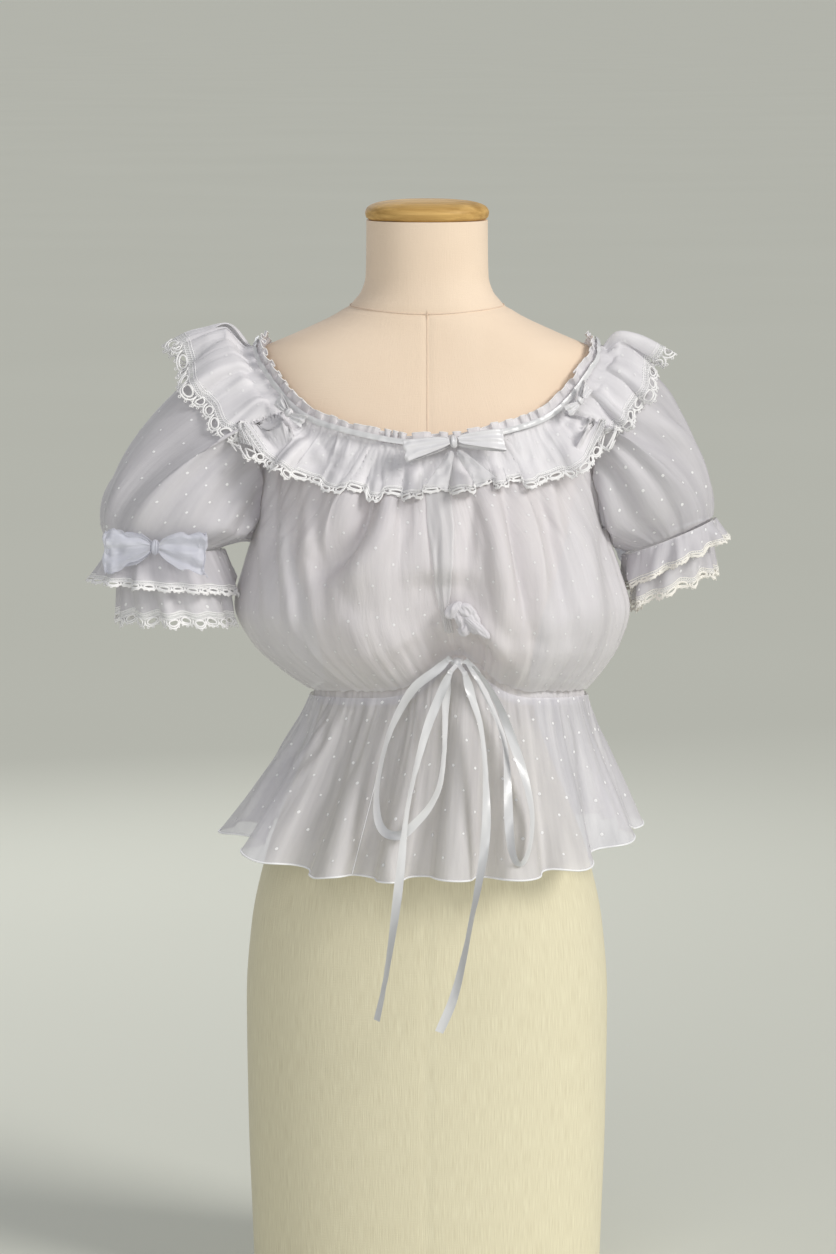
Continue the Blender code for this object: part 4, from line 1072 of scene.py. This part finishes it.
def make_form():
    top = FORM.rows[-1]["height"]
    heights = np.unique(np.concatenate([np.linspace(0.0, top, 96), np.linspace(0.925, top, 36)]))[::-1]
    angle, height = round_grid(2.5, heights)
    base = on_form(angle, height)
    skin = ring_cloth(base, base * [1, 1, 0])
    seam = seam_line(angle)
    groove = 0.0012 * bell((height - seam) / SEAM_GROOVE)
    groove = groove + 0.0007 * bell(base[..., 0] / SEAM_GROOVE) * (height < seam)
    mesh = Mesh().cloth(skin.lift(-groove)).caps(skin)
    turned, upright = np.radians(np.arange(0, 360, 3.0)), np.linspace(SEAM_TOP, SEAM_FOOT, 90)
    # The thread of the neck seam, then of the centre front and the centre back
    for turn, level, sunk, thick in (
        (turned, seam_line(turned), 0.0008, 0.00045),
        (0 * upright, upright, 0.0005, 0.00035),
        (0 * upright + math.pi, upright, 0.0005, 0.00035),
    ):
        path = point(turn, form_radius(level, turn) - sunk, level)
        mesh.tube(path, path * [1, 1, 0], thick, 1, closed=turn is turned)
    mesh.hang("form_body", "form", "seam", kind="cover", slot="form_cover")
    steps = np.arange(len(CAP.rows), dtype=float)
    fine = np.linspace(0, steps[-1], 37)
    share, level = (smooth(fine, steps, CAP[name])[::-1] for name in ("share", "height"))
    angle, share = round_grid(3.0, share)
    cap = ring_cloth(point(angle, form_radius(top, angle) * share, level[:, None]), outwards(angle))
    Mesh().cloth(cap).caps(cap).hang("neck_cap", "wood", kind="wood", slot="cap_wood")


# ---------------------------------------------------------------- bodice

def make_panel(name, fore, columns, rows, creases, seed):
    ways = np.linspace(0.006, 0.994, rows)
    # The panel ends at the raglan seams, then at the side seams
    reach = (seam_angle(ways, fore) if fore > 0 else 180 - seam_angle(ways, fore)) + SEAM_LAP
    spread = np.linspace(-1, 1, columns)[None, :] * reach[:, None]
    angle = np.radians(spread if fore > 0 else 180 + spread)
    way = 0 * angle + ways[:, None]
    cloth = Cloth(bodice_point(angle, way), faces_out=outwards(angle))
    edge = to_edge(columns) / (columns - 1) * 2
    lift = gathered(
        cloth, seed,
        (0.0016, 0.0075, 0, 0.35, fade(way, 0.3)),
        (0.0021, 0.0085, 7, 0.35, fade(1 - way, 0.2)),
        (0.0011, 0.0085, 12, 0.35, fade(edge, 0.16)),
        (0.0014, 0.03, 20, 0.6, arch(way)),
        (0.0009, 0.013, 30, 0.5, 1),
    )
    lift = soften(lift + crease_lift(cloth.points, creases))
    cloth.lift(lift * (0.35 + 0.65 * ramp(edge, 0.0, 0.1)))
    cloth.set(off_form(cloth.points, 0.001))
    mesh = Mesh().cloth(cloth).dots(cloth, 0.026, 0.016, 0.0013, seed)
    mesh.hang(name, "cloth", "faint_dot")
    return cloth


def make_channel(front):
    """The drawstring's upright channel and the gathered puffs at its foot."""
    ways = np.linspace(CHANNEL_TOP, CHANNEL_FOOT, 110)[:, None]
    across = np.linspace(-1, 1, 40)[None]
    half = np.radians(4.8 - 2.5 * ramp(ways, 0.36, 0.8) + 0.45 * noise1(ways * 9, 31))
    turn = np.radians(CHANNEL_ANGLE - 0.4 * ways) + across * half
    cloth = Cloth(bodice_point(turn, 0 * turn + ways), faces_out=outwards(turn))
    sway = 0.9 * noise1(cloth.grid_st()[1] / 0.035, 3)
    fold = 0.0011 * np.cos(across * 1.7 * np.pi + sway) + gathered(cloth, 5, (0.0007, 0.006, 0, 0.8, 1))
    cloth.lift(0.0005 + (0.0018 + fold) * ramp(ways, CHANNEL_TOP, 0.4) * (1 - across**4))
    cloth.set(clear_of(cloth.points, [front], 0.0006, passes=1))
    Mesh().cloth(cloth).hang("front_channel", "tail")
    low, high = (np.array(corner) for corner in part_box("front_knot"))
    mesh = Mesh()
    for number, (x, y, z, wide, deep, tall, lean) in enumerate(PUFFS):
        turn, polar = grid(np.linspace(0, 2 * np.pi, 64, endpoint=False), np.linspace(0.05, np.pi - 0.05, 34))
        fore, side, round_it = np.cos(turn), np.sin(turn), np.sin(polar)
        lump = 0.3 * noise2(2.4 * fore + 9, 2.4 * side + 1.6 * polar + 5 * number, 21)
        lump = lump + 0.06 * np.cos(4 * turn + 3.0 * np.cos(polar) + 2 * number)
        lump = 1 + round_it * (lump + 0.05 * np.cos(11 * turn + 5 * np.cos(2 * polar)))
        shape = np.stack([round_it * fore * lump, round_it * side * lump, np.cos(polar)], axis=-1)
        places = shape * [wide, deep, tall]
        places[..., 0] += lean * places[..., 2]
        mesh.cloth(ring_cloth((low + high) / 2 + (high - low) / 2 * [x, y, z] + places, shape))
    mesh.hang("front_knot", "cloth", kind="puff")


# ---------------------------------------------------------------- sleeves

def make_sleeve(row, bodice):
    name, seed = row["name"], row["seed"]
    turn, way = grid(np.linspace(-180, 180, 280, endpoint=False), np.linspace(0.02, 0.988, 86))
    base = sleeve_point(row, turn, way)
    cloth = ring_cloth(base, base - base.mean(axis=(0, 1)))
    lift = gathered(
        cloth, seed,
        (0.0018, 0.008, 0, 0.35, fade(way, 0.34)),
        (0.0021, 0.008, 5, 0.35, fade(1 - way, 0.26)),
        (0.0056, 0.04, 9, 0.8, arch(way)),
        (0.001, 0.016, 11, 0.6, arch(way)),
    )
    cloth.lift(soften(lift) * (0.35 + 0.65 * ramp(way, 0.0, 0.12) * ramp(1 - way, 0.0, 0.03)))
    inner = ramp(-np.cos(np.radians(turn)), -0.2, 0.8) * ramp(way, 0.0, 0.16) * ramp(1 - way, 0.0, 0.3)
    moved = cloth.points + inner[..., None] * INNER_FILL * [-row["side"], 1.0, 1.0]
    cloth.set(clear_of(off_form(moved, 0.0022), bodice, 0.0008))
    mesh = Mesh().cloth(cloth).dots(cloth, 0.026, 0.0155, seed=seed, low=0.006)
    mesh.hang(f"sleeve_{name}", "sleeve", "dot")
    angle, share = round_grid(1.5, np.linspace(0, 1, 10))
    wrinkle = 0.0005 * gathers(angle * row["cuff_radius"], share * 0.01, 0.0055, seed + 30)
    radius = row["cuff_radius"] + wrinkle + 0.0006 * arch(share)
    base, turn = cuff_ring(row, angle, radius, 0.001 + CUFF_BAND * share)
    band = ring_cloth(base, turn)
    mesh = Mesh().cloth(band)
    for t in (0.0006, band.t[-1] - 0.0006):
        s = np.linspace(0, band.s[-1], 200, endpoint=False)
        mesh.cord_on(band, s, t, 0.0005, 1, off=0.0003, closed=True)
    mesh.hang(f"cuff_band_{name}", "sleeve", "cord")
    return cloth


def hang_ruffle(node, lace_node, cloth, pitch, finishes, cord, seed):
    """A ruffle's cloth with its dots, down to its lace, and the lace as a piece of its own."""
    high = cloth.t[-1] * (1 - LACE_SHARE)
    mesh = Mesh().cloth(cloth, rows=slice(0, np.searchsorted(cloth.t, high) + 1))
    mesh.dots(cloth, seed=seed, high=high).hang(node, *finishes)
    lace_edging(lace_node, cloth, pitch, cord, seed)


def lace_edging(node, surface, pitch, cord, seed):
    """Net with a corded edge: eyelets under scallops, joined by short bars, with picots outside."""
    end, ring = surface.t[-1], surface.ring
    top = end * (1 - LACE_SHARE)
    depth = end - top
    start, spare = (0.0, 0.0) if ring else (surface.s[0] + 0.001, 0.002)
    length = surface.s[-1] - surface.s[0]
    count = max(3, int(round(length / pitch)))
    wide = (length - spare) / count
    s = start + np.arange(count * 8 + (0 if ring else 1)) * wide / 8
    low = top + depth * (0.4 + 0.1 * (1 - np.abs(arch((s - start) / wide))))
    t = top - 0.0006 + (low - top + 0.0006)[None] * np.linspace(0, 1, 5)[:, None]
    ground = Cloth(surface.at(np.repeat(s[None], 5, axis=0), t)[0], ring=ring)
    ground.sign = surface.sign
    mesh = Mesh().cloth(ground, 1)
    all_s = np.linspace(start, start + wide * count, count * 8, endpoint=not ring)
    for t, thick in ((top + 0.0006, 0.00045), (top + 0.0026, 0.0003), (top + depth * 0.37, 0.00038)):
        mesh.cord_on(surface, all_s, t, thick, closed=ring, flat=0.8)
    eye_wide, eye_tall = 0.345 * wide, 0.185 * depth
    round_turn, half_turn = np.arange(14) * 2 * math.pi / 14, np.linspace(0, np.pi, 13)
    picot = np.arange(6) * math.pi / 3
    hole = top + depth * 0.615
    rng = np.random.RandomState(seed)
    for number in range(count):
        middle = start + (number + 0.5) * wide
        grow = rng.uniform(0.93, 1.05)
        s, t = middle + eye_wide * grow * np.cos(round_turn), hole + eye_tall * np.sin(round_turn)
        mesh.cord_on(surface, s, t, 0.001, closed=True, flat=0.7)
        t = np.minimum(top + depth * (0.5 + 0.42 * grow * np.sin(half_turn) ** 0.8), end)
        mesh.cord_on(surface, middle - 0.5 * wide * np.cos(half_turn), t, 0.00095, flat=0.7)
        for lean in (-0.8, 0.0, 0.8):
            across, down = math.sin(lean), math.cos(lean)
            inner = np.array([middle + eye_wide * across, hole + eye_tall * down])
            outer = np.array([middle + 0.48 * wide * across, top + depth * (0.5 + 0.41 * down**0.8)])
            s, t = (inner + (outer - inner) * np.linspace(0, 1, 3)[:, None]).T
            mesh.cord_on(surface, s, t, 0.00045, sides=4)
        for lean in (-1.2, -0.62, 0.0, 0.62, 1.2):
            s = middle + 0.545 * wide * math.sin(lean) + PICOT * np.cos(picot)
            t = top + depth * (0.55 + 0.44 * math.cos(lean)) + PICOT * np.sin(picot)
            path, facing = surface.at(s, np.minimum(t, end))
            over = np.maximum(t - end, 0)[:, None]
            path = path + unit(surface.sample(s, np.full(6, end), surface.down)[0]) * over
            mesh.tube(path, facing, 0.00048, 0, 4, closed=True)
    mesh.hang(node, cord, "net", kind="cord", slot="lace_edging")


def make_tiers(row, bodice):
    left = row["side"] < 0
    under = []
    for tier, lower, seed in (("lower", True, 100), ("upper", False, 120)):
        seed += 0 if left else 10
        angle, way = round_grid(1.2, np.linspace(0, 1, 46))
        outward = cuff_ring(row, angle, 0 * angle, 0 * way)[1]
        cloth = ring_cloth(tier_point(row, angle, way, lower), outward)
        s = cloth.grid_st()[0]
        outer = 0.35 + 0.65 * (0.5 + 0.5 * np.cos(angle))
        wave = np.cos(s / 0.026 * 2 * np.pi + 1.8 * noise1(s / 0.05, seed)) * outer * way
        lift = 0.0062 * wave + gathered(
            cloth, seed, (0.0012, 0.007, 0, 0.35, fade(way, 0.55)), (0.0018, 0.014, 3, 0.35, way))
        close = closing(cloth, 0.01)
        cloth.lift(soften(lift * close))
        cloth.set(cloth.points - SKY * (0.0032 * wave * close)[..., None])
        for skins, gap in ((under, 0.002), (bodice, 0.003)):
            cloth.set(clear_of(cloth.points, skins, gap, passes=1))
        under.append(cloth)
        nodes = f"cuff_{tier}_{row['name']}", f"cuff_{tier}_lace_{row['name']}"
        hang_ruffle(*nodes, cloth, CUFF_SCALLOP, ("sleeve", "dot"), "cord" if left else "ivory", seed)


# ---------------------------------------------------------------- neck

def make_ruffle(name, middle, count, seed, skins):
    angle, way = grid(neck_turns(middle, count), np.linspace(0, 1, 42))
    cloth = Cloth(fine_ruffle(angle, way), faces_out=outwards(angle))
    s, t = cloth.grid_st()
    side = np.abs(np.sin(angle))
    phase = s / 0.038 + 0.45 * noise1(s / 0.055, seed)
    corner = fade(np.degrees(np.arcsin(side)) - 68, 9)
    size = (0.01 + 0.0072 * side**3) * (0.8 + 0.45 * noise1(s / 0.04, seed + 1)) * (1 - 0.55 * corner)
    lobe = np.cos(2 * np.pi * phase) + 0.25 * np.cos(4 * np.pi * phase + 0.6)
    lift = size * lobe * way**1.15 + gathered(
        cloth, seed, (0.002, 0.007, 2, 0.35, fade(way, 0.5)), (0.0013, 0.012, 4, 0.35, way))
    cloth.lift(lift + 0.0026 * arch(way) * noise2(s / 0.012, t / 0.014, seed + 8))
    sway = 0.66 * size * (1 - 0.8 * corner) * np.sin(4 * np.pi * phase) * way**1.3
    moved = cloth.points + unit(cloth.across) * sway[..., None]
    moved[..., 2] -= 0.0052 * way * lobe + 0.0045 * way**2 * noise1(s / 0.05, seed + 6)
    cloth.set(clear_of(moved, skins, 0.0028))
    nodes = f"neck_ruffle_{name}", f"neck_lace_{name}"
    hang_ruffle(*nodes, cloth, NECK_SCALLOP, ("frill", "faint_dot"), "cord", seed)


def make_neck(skins):
    make_ruffle("front", 0, 470, 140, skins)
    make_ruffle("back", 180, 380, 160, skins)
    turn = np.concatenate([neck_turns(0, 520), neck_turns(180, 420)])
    angle, way = grid(turn, np.linspace(0, 1, 14))
    here, outward, upward = neck_ring(angle)
    flat = ring_cloth(here + upward * (HEADING * way)[..., None], outward)
    s, close = flat.grid_st()[0], closing(flat, 0.008)
    wave = s / 0.015 + 0.8 * noise1(s / 0.026, 170)
    size = close * (0.75 + 0.45 * noise1(s / 0.03, 171))
    lobe = np.cos(2 * np.pi * wave + 0.9 * (way - 0.5)) * size
    uneven = noise1(s / 0.019, 173) * close
    lift = FRILL_LIFT - 0.0006 + way * (0.0034 + 0.0036 * lobe)
    lift = lift + gathered(flat, 172, (0.001, 0.005, 0, 0.35, close * (0.3 + way)))
    rise = (HEADING - 0.003 + 0.0007 * lobe + 0.002 * uneven) * way - 0.0006
    shift = 0.003 * way * np.sin(4 * np.pi * wave) * size
    axes = (outward, lift), (upward, rise), (unit(flat.across[:, :-1]), shift)
    cloth = ring_cloth(here + sum(axis * amount[..., None] for axis, amount in axes), outward)
    mesh = Mesh().cloth(cloth)
    mesh.tube(cloth.points[-1], cloth.normal[-1, :-1], 0.00045, 1, 5, closed=True)
    mesh.hang("neck_heading", "frill", "cord")
    angle, way = grid(turn[::2], np.linspace(0, 1, 8))
    here, outward, upward = neck_ring(angle)
    rise = BAND_RISE + NECK_BAND * 0.72 * (0.5 - way)
    band = ring_cloth(here + outward * (RIBBON_LIFT - 0.003) + upward * rise[..., None], outward)
    close = closing(band, 0.008)
    band.lift(gathered(band, 180, (0.0011, 0.011, 0, 0.35, close)) + 0.0005 * arch(way) * close)
    Mesh().cloth(band).hang("neck_ribbon", "warm_satin", kind="satin", slot="satin_ribbon")


# ---------------------------------------------------------------- bows

def ribbon_cloth(path, across, width, columns, cup, seed=None, crinkle=0.0):
    """A ribbon along a path: a grid across its width, a little cupped and crinkled."""
    share = np.linspace(-0.5, 0.5, columns)[None]
    facing = unit(np.cross(unit(np.gradient(path, axis=0) + 1e-12), across))
    places = width[:, None] * share
    lift = cup * (1 - (2 * share) ** 2) + 0 * places
    if seed is not None:
        lift = lift + crinkle * noise2(run_along(path)[:, None] / 0.008, places / 0.006, seed)
    return Cloth(path[:, None] + across[:, None] * places[..., None] + facing[:, None] * lift[..., None])


def bow_loop(name, axes, centre, row, way, finish, seed, slot, fluff):
    side, up, out = axes
    turn = np.linspace(0.0, np.pi, 56)
    bend = np.sin(turn)
    reach = 0.0042 + (row["reach"] - 0.0042) * bend**0.9
    depth = row["depth"] * (0.5 + 0.36 * np.cos(turn))
    path = centre + way * side * reach[:, None] + out * depth[:, None] - up * (row["droop"] * bend)[:, None]
    pinch = bend**0.6 * (1 - fluff * 45 * bend**10)
    width = row["width"] * (0.26 + (0.74 + fluff * 180) * pinch)
    share = np.linspace(-0.5, 0.5, 30)[None]
    run = bend[:, None]
    pleat = np.cos(share * 4.2 * np.pi + 1.3 * noise1(turn / 0.9 + seed, seed)[:, None])
    lift = pleat * (0.0011 + 0.0012 * (1 - run)) * (0.5 + fluff * 150)
    lift = lift + (0.0008 + 0.6 * fluff) * noise2(turn[:, None] * 4.2 + seed, share * 5.0, seed)
    lift = lift * (0.25 + 0.75 * run**0.5)
    facing = unit(np.cross(unit(np.gradient(path, axis=0) + 1e-12), up + 0 * path))
    wave = fluff * 0.85 * noise1(turn * 4.5 + seed, seed)[:, None] * (2 * np.abs(share)) ** 2 * np.sign(share)
    rise = width[:, None] * share + wave
    cloth = Cloth(path[:, None] + up * rise[..., None] + facing[:, None] * lift[..., None])
    Mesh().cloth(cloth).edges(cloth, 0.0004).hang(name, finish, slot=slot)


def bow_knot(node, centre, axes, size, finish, slot, kind="cloth", stubs=()):
    turn, polar = grid(np.linspace(0, 2 * np.pi, 36, endpoint=False), np.linspace(0.18, np.pi - 0.18, 16))
    pleats = 1 + (0.11 * np.cos(6 * turn + 0.9 * np.cos(polar)) + 0.05 * np.cos(11 * turn)) * np.sin(polar)
    round_it = np.sin(polar) * pleats
    shape = np.stack([round_it * np.cos(turn), np.cos(polar), round_it * np.sin(turn)], axis=-1)
    knot = ring_cloth(centre + (shape * size) @ np.array(axes), shape @ np.array(axes))
    mesh = Mesh().cloth(knot).caps(knot)
    for stub in stubs:
        mesh.cloth(stub)
    return mesh.hang(node, finish, kind=kind, slot=slot)


def make_bow(row, centre, out, up, finish, slot, fluff=0.0):
    name, depth, seed = row["name"], row["depth"], row["seed"]
    side = unit(np.cross(up, out))
    axes = side, up, out
    for hand, way in (("left", -1), ("right", 1)):
        bow_loop(f"{name}_loop_{hand}", axes, centre, row, way, finish, seed + way, slot, fluff)
        if row["tail"]:
            share = np.linspace(0, 1, 40)[:, None]
            path = centre + way * side * (0.004 + 0.45 * row["tail"] * share)
            path = path + out * (depth * 0.2 + 0.014 * share) - up * (0.01 + (row["tail"] - 0.008) * share)
            lean = unit(side * 0.9 + up * way * 0.4) + 0 * path
            tail = ribbon_cloth(path, lean, 0.006 + 0.015 * share[:, 0], 18, 0.0018, seed + 5, 0.0026)
            Mesh().cloth(tail).edges(tail, 0.0003).hang(f"{name}_tail_{hand}", "tail", slot=slot)
    size = np.array([0.004, 0.2 * row["width"] + 0.002, 0.42 * depth])
    bow_knot(f"{name}_knot", centre + out * depth * 0.5, axes, size, finish, slot)


def make_bows():
    for row in BOWS.rows[:3]:
        here, outward, upward = (found[0] for found in neck_ring(np.array([np.radians(row["angle"])])))
        off, slot = (0.0016, "bow_organza") if row["tail"] else (0.0052, "satin_ribbon")
        make_bow(row, here + outward * (RIBBON_LIFT + off), outward, upward, "satin", slot)
    for row, sleeve in zip(BOWS.rows[3:], SLEEVES.rows):
        angle = np.radians(np.array([sleeve["bow_angle"]]))
        centre, turn = cuff_ring(sleeve, angle, sleeve["cuff_radius"] + 0.014 + 0 * angle, 0 * angle - 0.004)
        make_bow(row, centre[0], turn[0], -cuff_frame(sleeve)[1], "bow", "bow_organza", 0.0034)


# ---------------------------------------------------------------- waist

def make_waist():
    angle, way = grid(np.linspace(-math.pi, math.pi, 620, endpoint=False), np.linspace(0, 1, 12))
    pulled = np.clip(waist_pulled(angle), 0, 1)
    base = casing_point(angle, 1.5 * way - 0.25 - 0.55 * np.sqrt(pulled) * (1 - way))
    band = ring_cloth(base, outwards(angle))
    close = closing(band, 0.008)
    lift = gathered(band, 260, (0.0019, 0.0058, 0, 0.2, close), (0.001, 0.013, 2, 0.35, close))
    band.lift(lift + 0.001 * arch(way) - 0.0026)
    Mesh().cloth(band).hang("waist_casing", "cloth", "edge")
    for name, middle, count, seed in (("front", 0, 440, 280), ("back", 180, 350, 300)):
        turn = np.radians(middle + np.linspace(-SIDE_REACH, SIDE_REACH, count))
        angle, way = grid(turn, np.linspace(0, 1, 84))
        base = peplum_point(angle, way) + SKY * (WAIST_LAP * (1 - way) ** 6)[..., None]
        base = base + point(angle, WAIST_PROUD * (1 - way) ** 10, 0.0)
        cloth = Cloth(base, faces_out=outwards(angle))
        s, t = cloth.grid_st()
        lift = gathered(
            cloth, seed,
            (0.0019, 0.0085, 0, 0.35, fade(way, 0.34)),
            (0.0034, 0.022, 4, 0.5, arch(np.clip(way * 0.9 + 0.1, 0, 1))),
            (0.0007, 0.011, 8, 0.5, 1),
        )
        lift = lift + 0.007 * way * noise1(s / 0.021 + 0.4 * noise1(t / 0.05, seed), seed + 6)
        flute = flutes(angle)
        lift = lift - 0.023 * way**1.1 * np.clip(1 - flute / 0.015, 0, 1) ** 1.3
        lift = lift + 0.009 * way**1.2 * ramp(flute, 0.012, 0.026)
        inside = ramp(to_edge(count) / count, 0.0, 0.02)
        cloth.lift(soften(lift) * inside * (0.3 + 0.7 * ramp(way, 0.0, 0.06)))
        cloth.set(off_form(cloth.points, 0.002))
        end = cloth.t[-1]
        mesh = Mesh().cloth(cloth).dots(cloth, 0.03, 0.0185, seed=seed, high=end - 0.003)
        mesh.cord_on(cloth, np.linspace(cloth.s[0], cloth.s[-1], 440), end - 0.0004, 0.00095, 2, 6)
        if middle == 0:
            seam = np.interp(PEPLUM_SEAM, cloth.points[-1, :, 0], cloth.s)
            mesh.cord_on(cloth, seam, np.linspace(end * 0.42, end - 0.001, 60), 0.0005, 2, 5, 0.0003)
        mesh.hang(f"peplum_{name}", "peplum", "dot", "edge")


def make_drawstring():
    """The waist ribbon's knot, loops and tails, which are its cords."""
    low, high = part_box("waist_knot")
    centre = np.array([KNOT_X, (low[1] + high[1]) / 2 - KNOT_AHEAD, KNOT_Z])
    runs, stubs = {}, []
    for name, rows in WAIST_RUNS.items():
        path = np.array([[x, -peplum_front(x, z) - lift, z] for x, z, lift in rows])
        run = run_along(path)
        fine = np.linspace(0, run[-1], 90)
        path = np.stack([smooth(fine, run, path[:, k]) for k in range(3)], axis=-1)
        for _ in range(3):
            path[1:-1] = (path[:-2] + 2 * path[1:-1] + path[2:]) / 4
        step = unit(np.gradient(path, axis=0))
        across = unit(np.cross(step, AHEAD))
        roll = (1.05 * np.sin(fine / 0.055 + len(name)) * ramp(fine, 0.0, 0.03))[:, None]
        across = across * np.cos(roll) + np.cross(step, across) * np.sin(roll)
        pinch = RIBBON_WIDTH * (0.55 + 0.45 * ramp(fine, 0.0, 0.016))
        if "loop" in name:
            pinch = pinch * (0.55 + 0.45 * ramp(fine[-1] - fine, 0.0, 0.016))
        runs[name] = path, across, pinch
        share = np.linspace(0, 1, 12)[:, None]
        start = centre + AHEAD * KNOT_FRONT
        reach = (1 - share) ** 2 * start + 2 * share * (1 - share) * path[0] + share**2 * path[1]
        width = np.full(12, 0.96 * pinch[0])
        stubs.append(ribbon_cloth(reach + AHEAD * 0.0006, across[0] + 0 * reach, width, 7, 0.0004))
    axes = ACROSS, SKY, AHEAD
    knot = bow_knot("waist_knot", centre, axes, KNOT_SIZE, "warm_satin", "satin_ribbon", "satin", stubs)
    for name, (path, across, pinch) in runs.items():
        ribbon = ribbon_cloth(path, across, pinch, 9, 0.0004, 330, 0.0003)
        made = Mesh().cloth(ribbon).hang(name, "warm_satin", kind="satin", slot="satin_ribbon")


# ---------------------------------------------------------------- sheets

def bow_pieces(*names, parts=("loop_left", "loop_right", "knot")):
    return tuple(f"{name}_{part}_cloth" for name in names for part in parts)


def declare_sheets():
    """Each piece's cut: its size, its flat area, what holds it, what it rests on and what is sewn to it,
    gathered in a list that is not passed on.
    """
    form, ruffles = ("form_body_cover",), ("neck_ruffle_front_cloth", "neck_ruffle_back_cloth")
    neck_bows = bow_pieces("neck_bow", parts=("loop_left", "loop_right", "knot", "tail_left", "tail_right"))
    sheets = [
        ("bodice_front_cloth", 0.54, 0.29, 0.148, "gathered", form, ("front_knot_puff",)),
        ("bodice_back_cloth", 0.56, 0.29, 0.15, "gathered", form, ()),
        ("front_channel_cloth", 0.018, 0.19, None, "gathered", ("bodice_front_cloth",), ()),
    ]
    for side, area in (("left", None), ("right", 0.076)):
        sheets.append((f"sleeve_{side}_cloth", 0.42, 0.2, area, "gathered", form, ()))
    for side, width in (("left", 0.32), ("right", 0.28)):
        sheets.append((f"cuff_band_{side}_cloth", width, 0.0105, None, "stretched",
                       (f"sleeve_{side}_cloth",), bow_pieces(f"sleeve_bow_{side}")))
    for tier, left, right in (("lower", 0.05, 0.034), ("upper", 0.036, 0.025)):
        for side, width, length in (("left", 0.42, left), ("right", 0.36, right)):
            sheets.append((f"cuff_{tier}_{side}_cloth", width, length, None, "gathered",
                           (f"cuff_band_{side}_cloth",), (f"cuff_{tier}_lace_{side}_cord",)))
    sheets += [
        (ruffles[0], 0.95, 0.045, None, "gathered", form, ("neck_lace_front_cord",)),
        (ruffles[1], 0.98, 0.045, None, "gathered", form, ("neck_lace_back_cord",)),
        ("neck_heading_cloth", 1.2, 0.018, None, "gathered", ruffles, ()),
        ("neck_ribbon_satin", 0.95, 0.01, 0.0066, "stretched", ruffles,
         neck_bows + bow_pieces("side_bow_left", "side_bow_right")),
        ("waist_casing_cloth", 0.85, 0.0145, None, "gathered", form, ()),
        ("peplum_front_cloth", 0.7, 0.165, 0.096, "hung", ("waist_casing_cloth",), ()),
        ("peplum_back_cloth", 0.7, 0.165, 0.088, "hung", ("waist_casing_cloth",), ()),
    ]


# ---------------------------------------------------------------- stage

def make_camera():
    away, elevation = 5.0, math.radians(7.0)
    made = link_object("camera", bpy.data.cameras.new("camera"))
    made.data.sensor_width = 36.0
    made.data.lens = 150.3
    made.data.clip_end = 1000.0
    target = np.array([-0.0086, 0.0, 0.6365])
    made.location = target + away * np.array([0.0, -math.cos(elevation), math.sin(elevation)])
    made.rotation_euler = (math.pi / 2 - elevation, 0.0, 0.0)
    bpy.context.scene.camera = made


def add_light(name, kind, aim, energy, colour, place=(0.0, 0.0, 0.0)):
    made = link_object(name, bpy.data.lights.new(name, kind))
    made.data.energy, made.data.color = energy, colour
    made.location = place
    made.rotation_euler = (Vector(aim) - Vector(place)).to_track_quat("-Z", "Y").to_euler()
    return made.data


def make_stage():
    scene = bpy.context.scene
    scene.view_settings.view_transform = "Standard"
    scene.cycles.transparent_max_bounces = 28
    scene.world = bpy.data.worlds.new("studio")
    scene.world.use_nodes = True
    tune(scene.world.node_tree.nodes["Background"], Color=(0.95, 0.97, 1.0, 1.0), Strength=0.32)
    add_light("key", "SUN", (-2.5, 1.75, -1.75), 2.05, (1.0, 0.98, 0.94)).angle = math.radians(24)
    middle = (0.0, 0.0, 0.65)
    add_light("fill", "AREA", middle, 24.0, (0.97, 0.97, 1.0), (-0.8, -3.2, 1.7)).size = 1.8
    add_light("rear", "AREA", middle, 16.0, (0.98, 0.99, 1.0), (-0.8, 2.6, 1.8)).size = 2.0
    turn = np.arange(96) * 2 * math.pi / 96
    rings = [point(turn + math.pi / 2, radius, -0.0004) for radius in (1.0, 8.0, 60.0, 900.0)]
    mesh = Mesh().add(rings[0], [range(96)])
    for low, high in zip(rings[:-1], rings[1:]):
        faces = [[k, (k + 1) % 96, 96 + (k + 1) % 96, 96 + k][::-1] for k in range(96)]
        mesh.add([low, high], faces)
    mesh.make("floor", "floor")


def main():
    make_camera()
    make_drawstring()
    make_form()
    bodice = [
        make_panel("bodice_front", 1, 330, 112, CREASES, 10),
        make_panel("bodice_back", -1, 270, 100, BACK_CREASES, 40),
    ]
    make_channel(bodice[0])
    sleeves = []
    for row in SLEEVES.rows:
        sleeves.append(make_sleeve(row, bodice))
        make_tiers(row, bodice)
    make_neck(bodice + sleeves)
    make_bows()
    make_waist()
    declare_sheets()
    make_stage()


main()
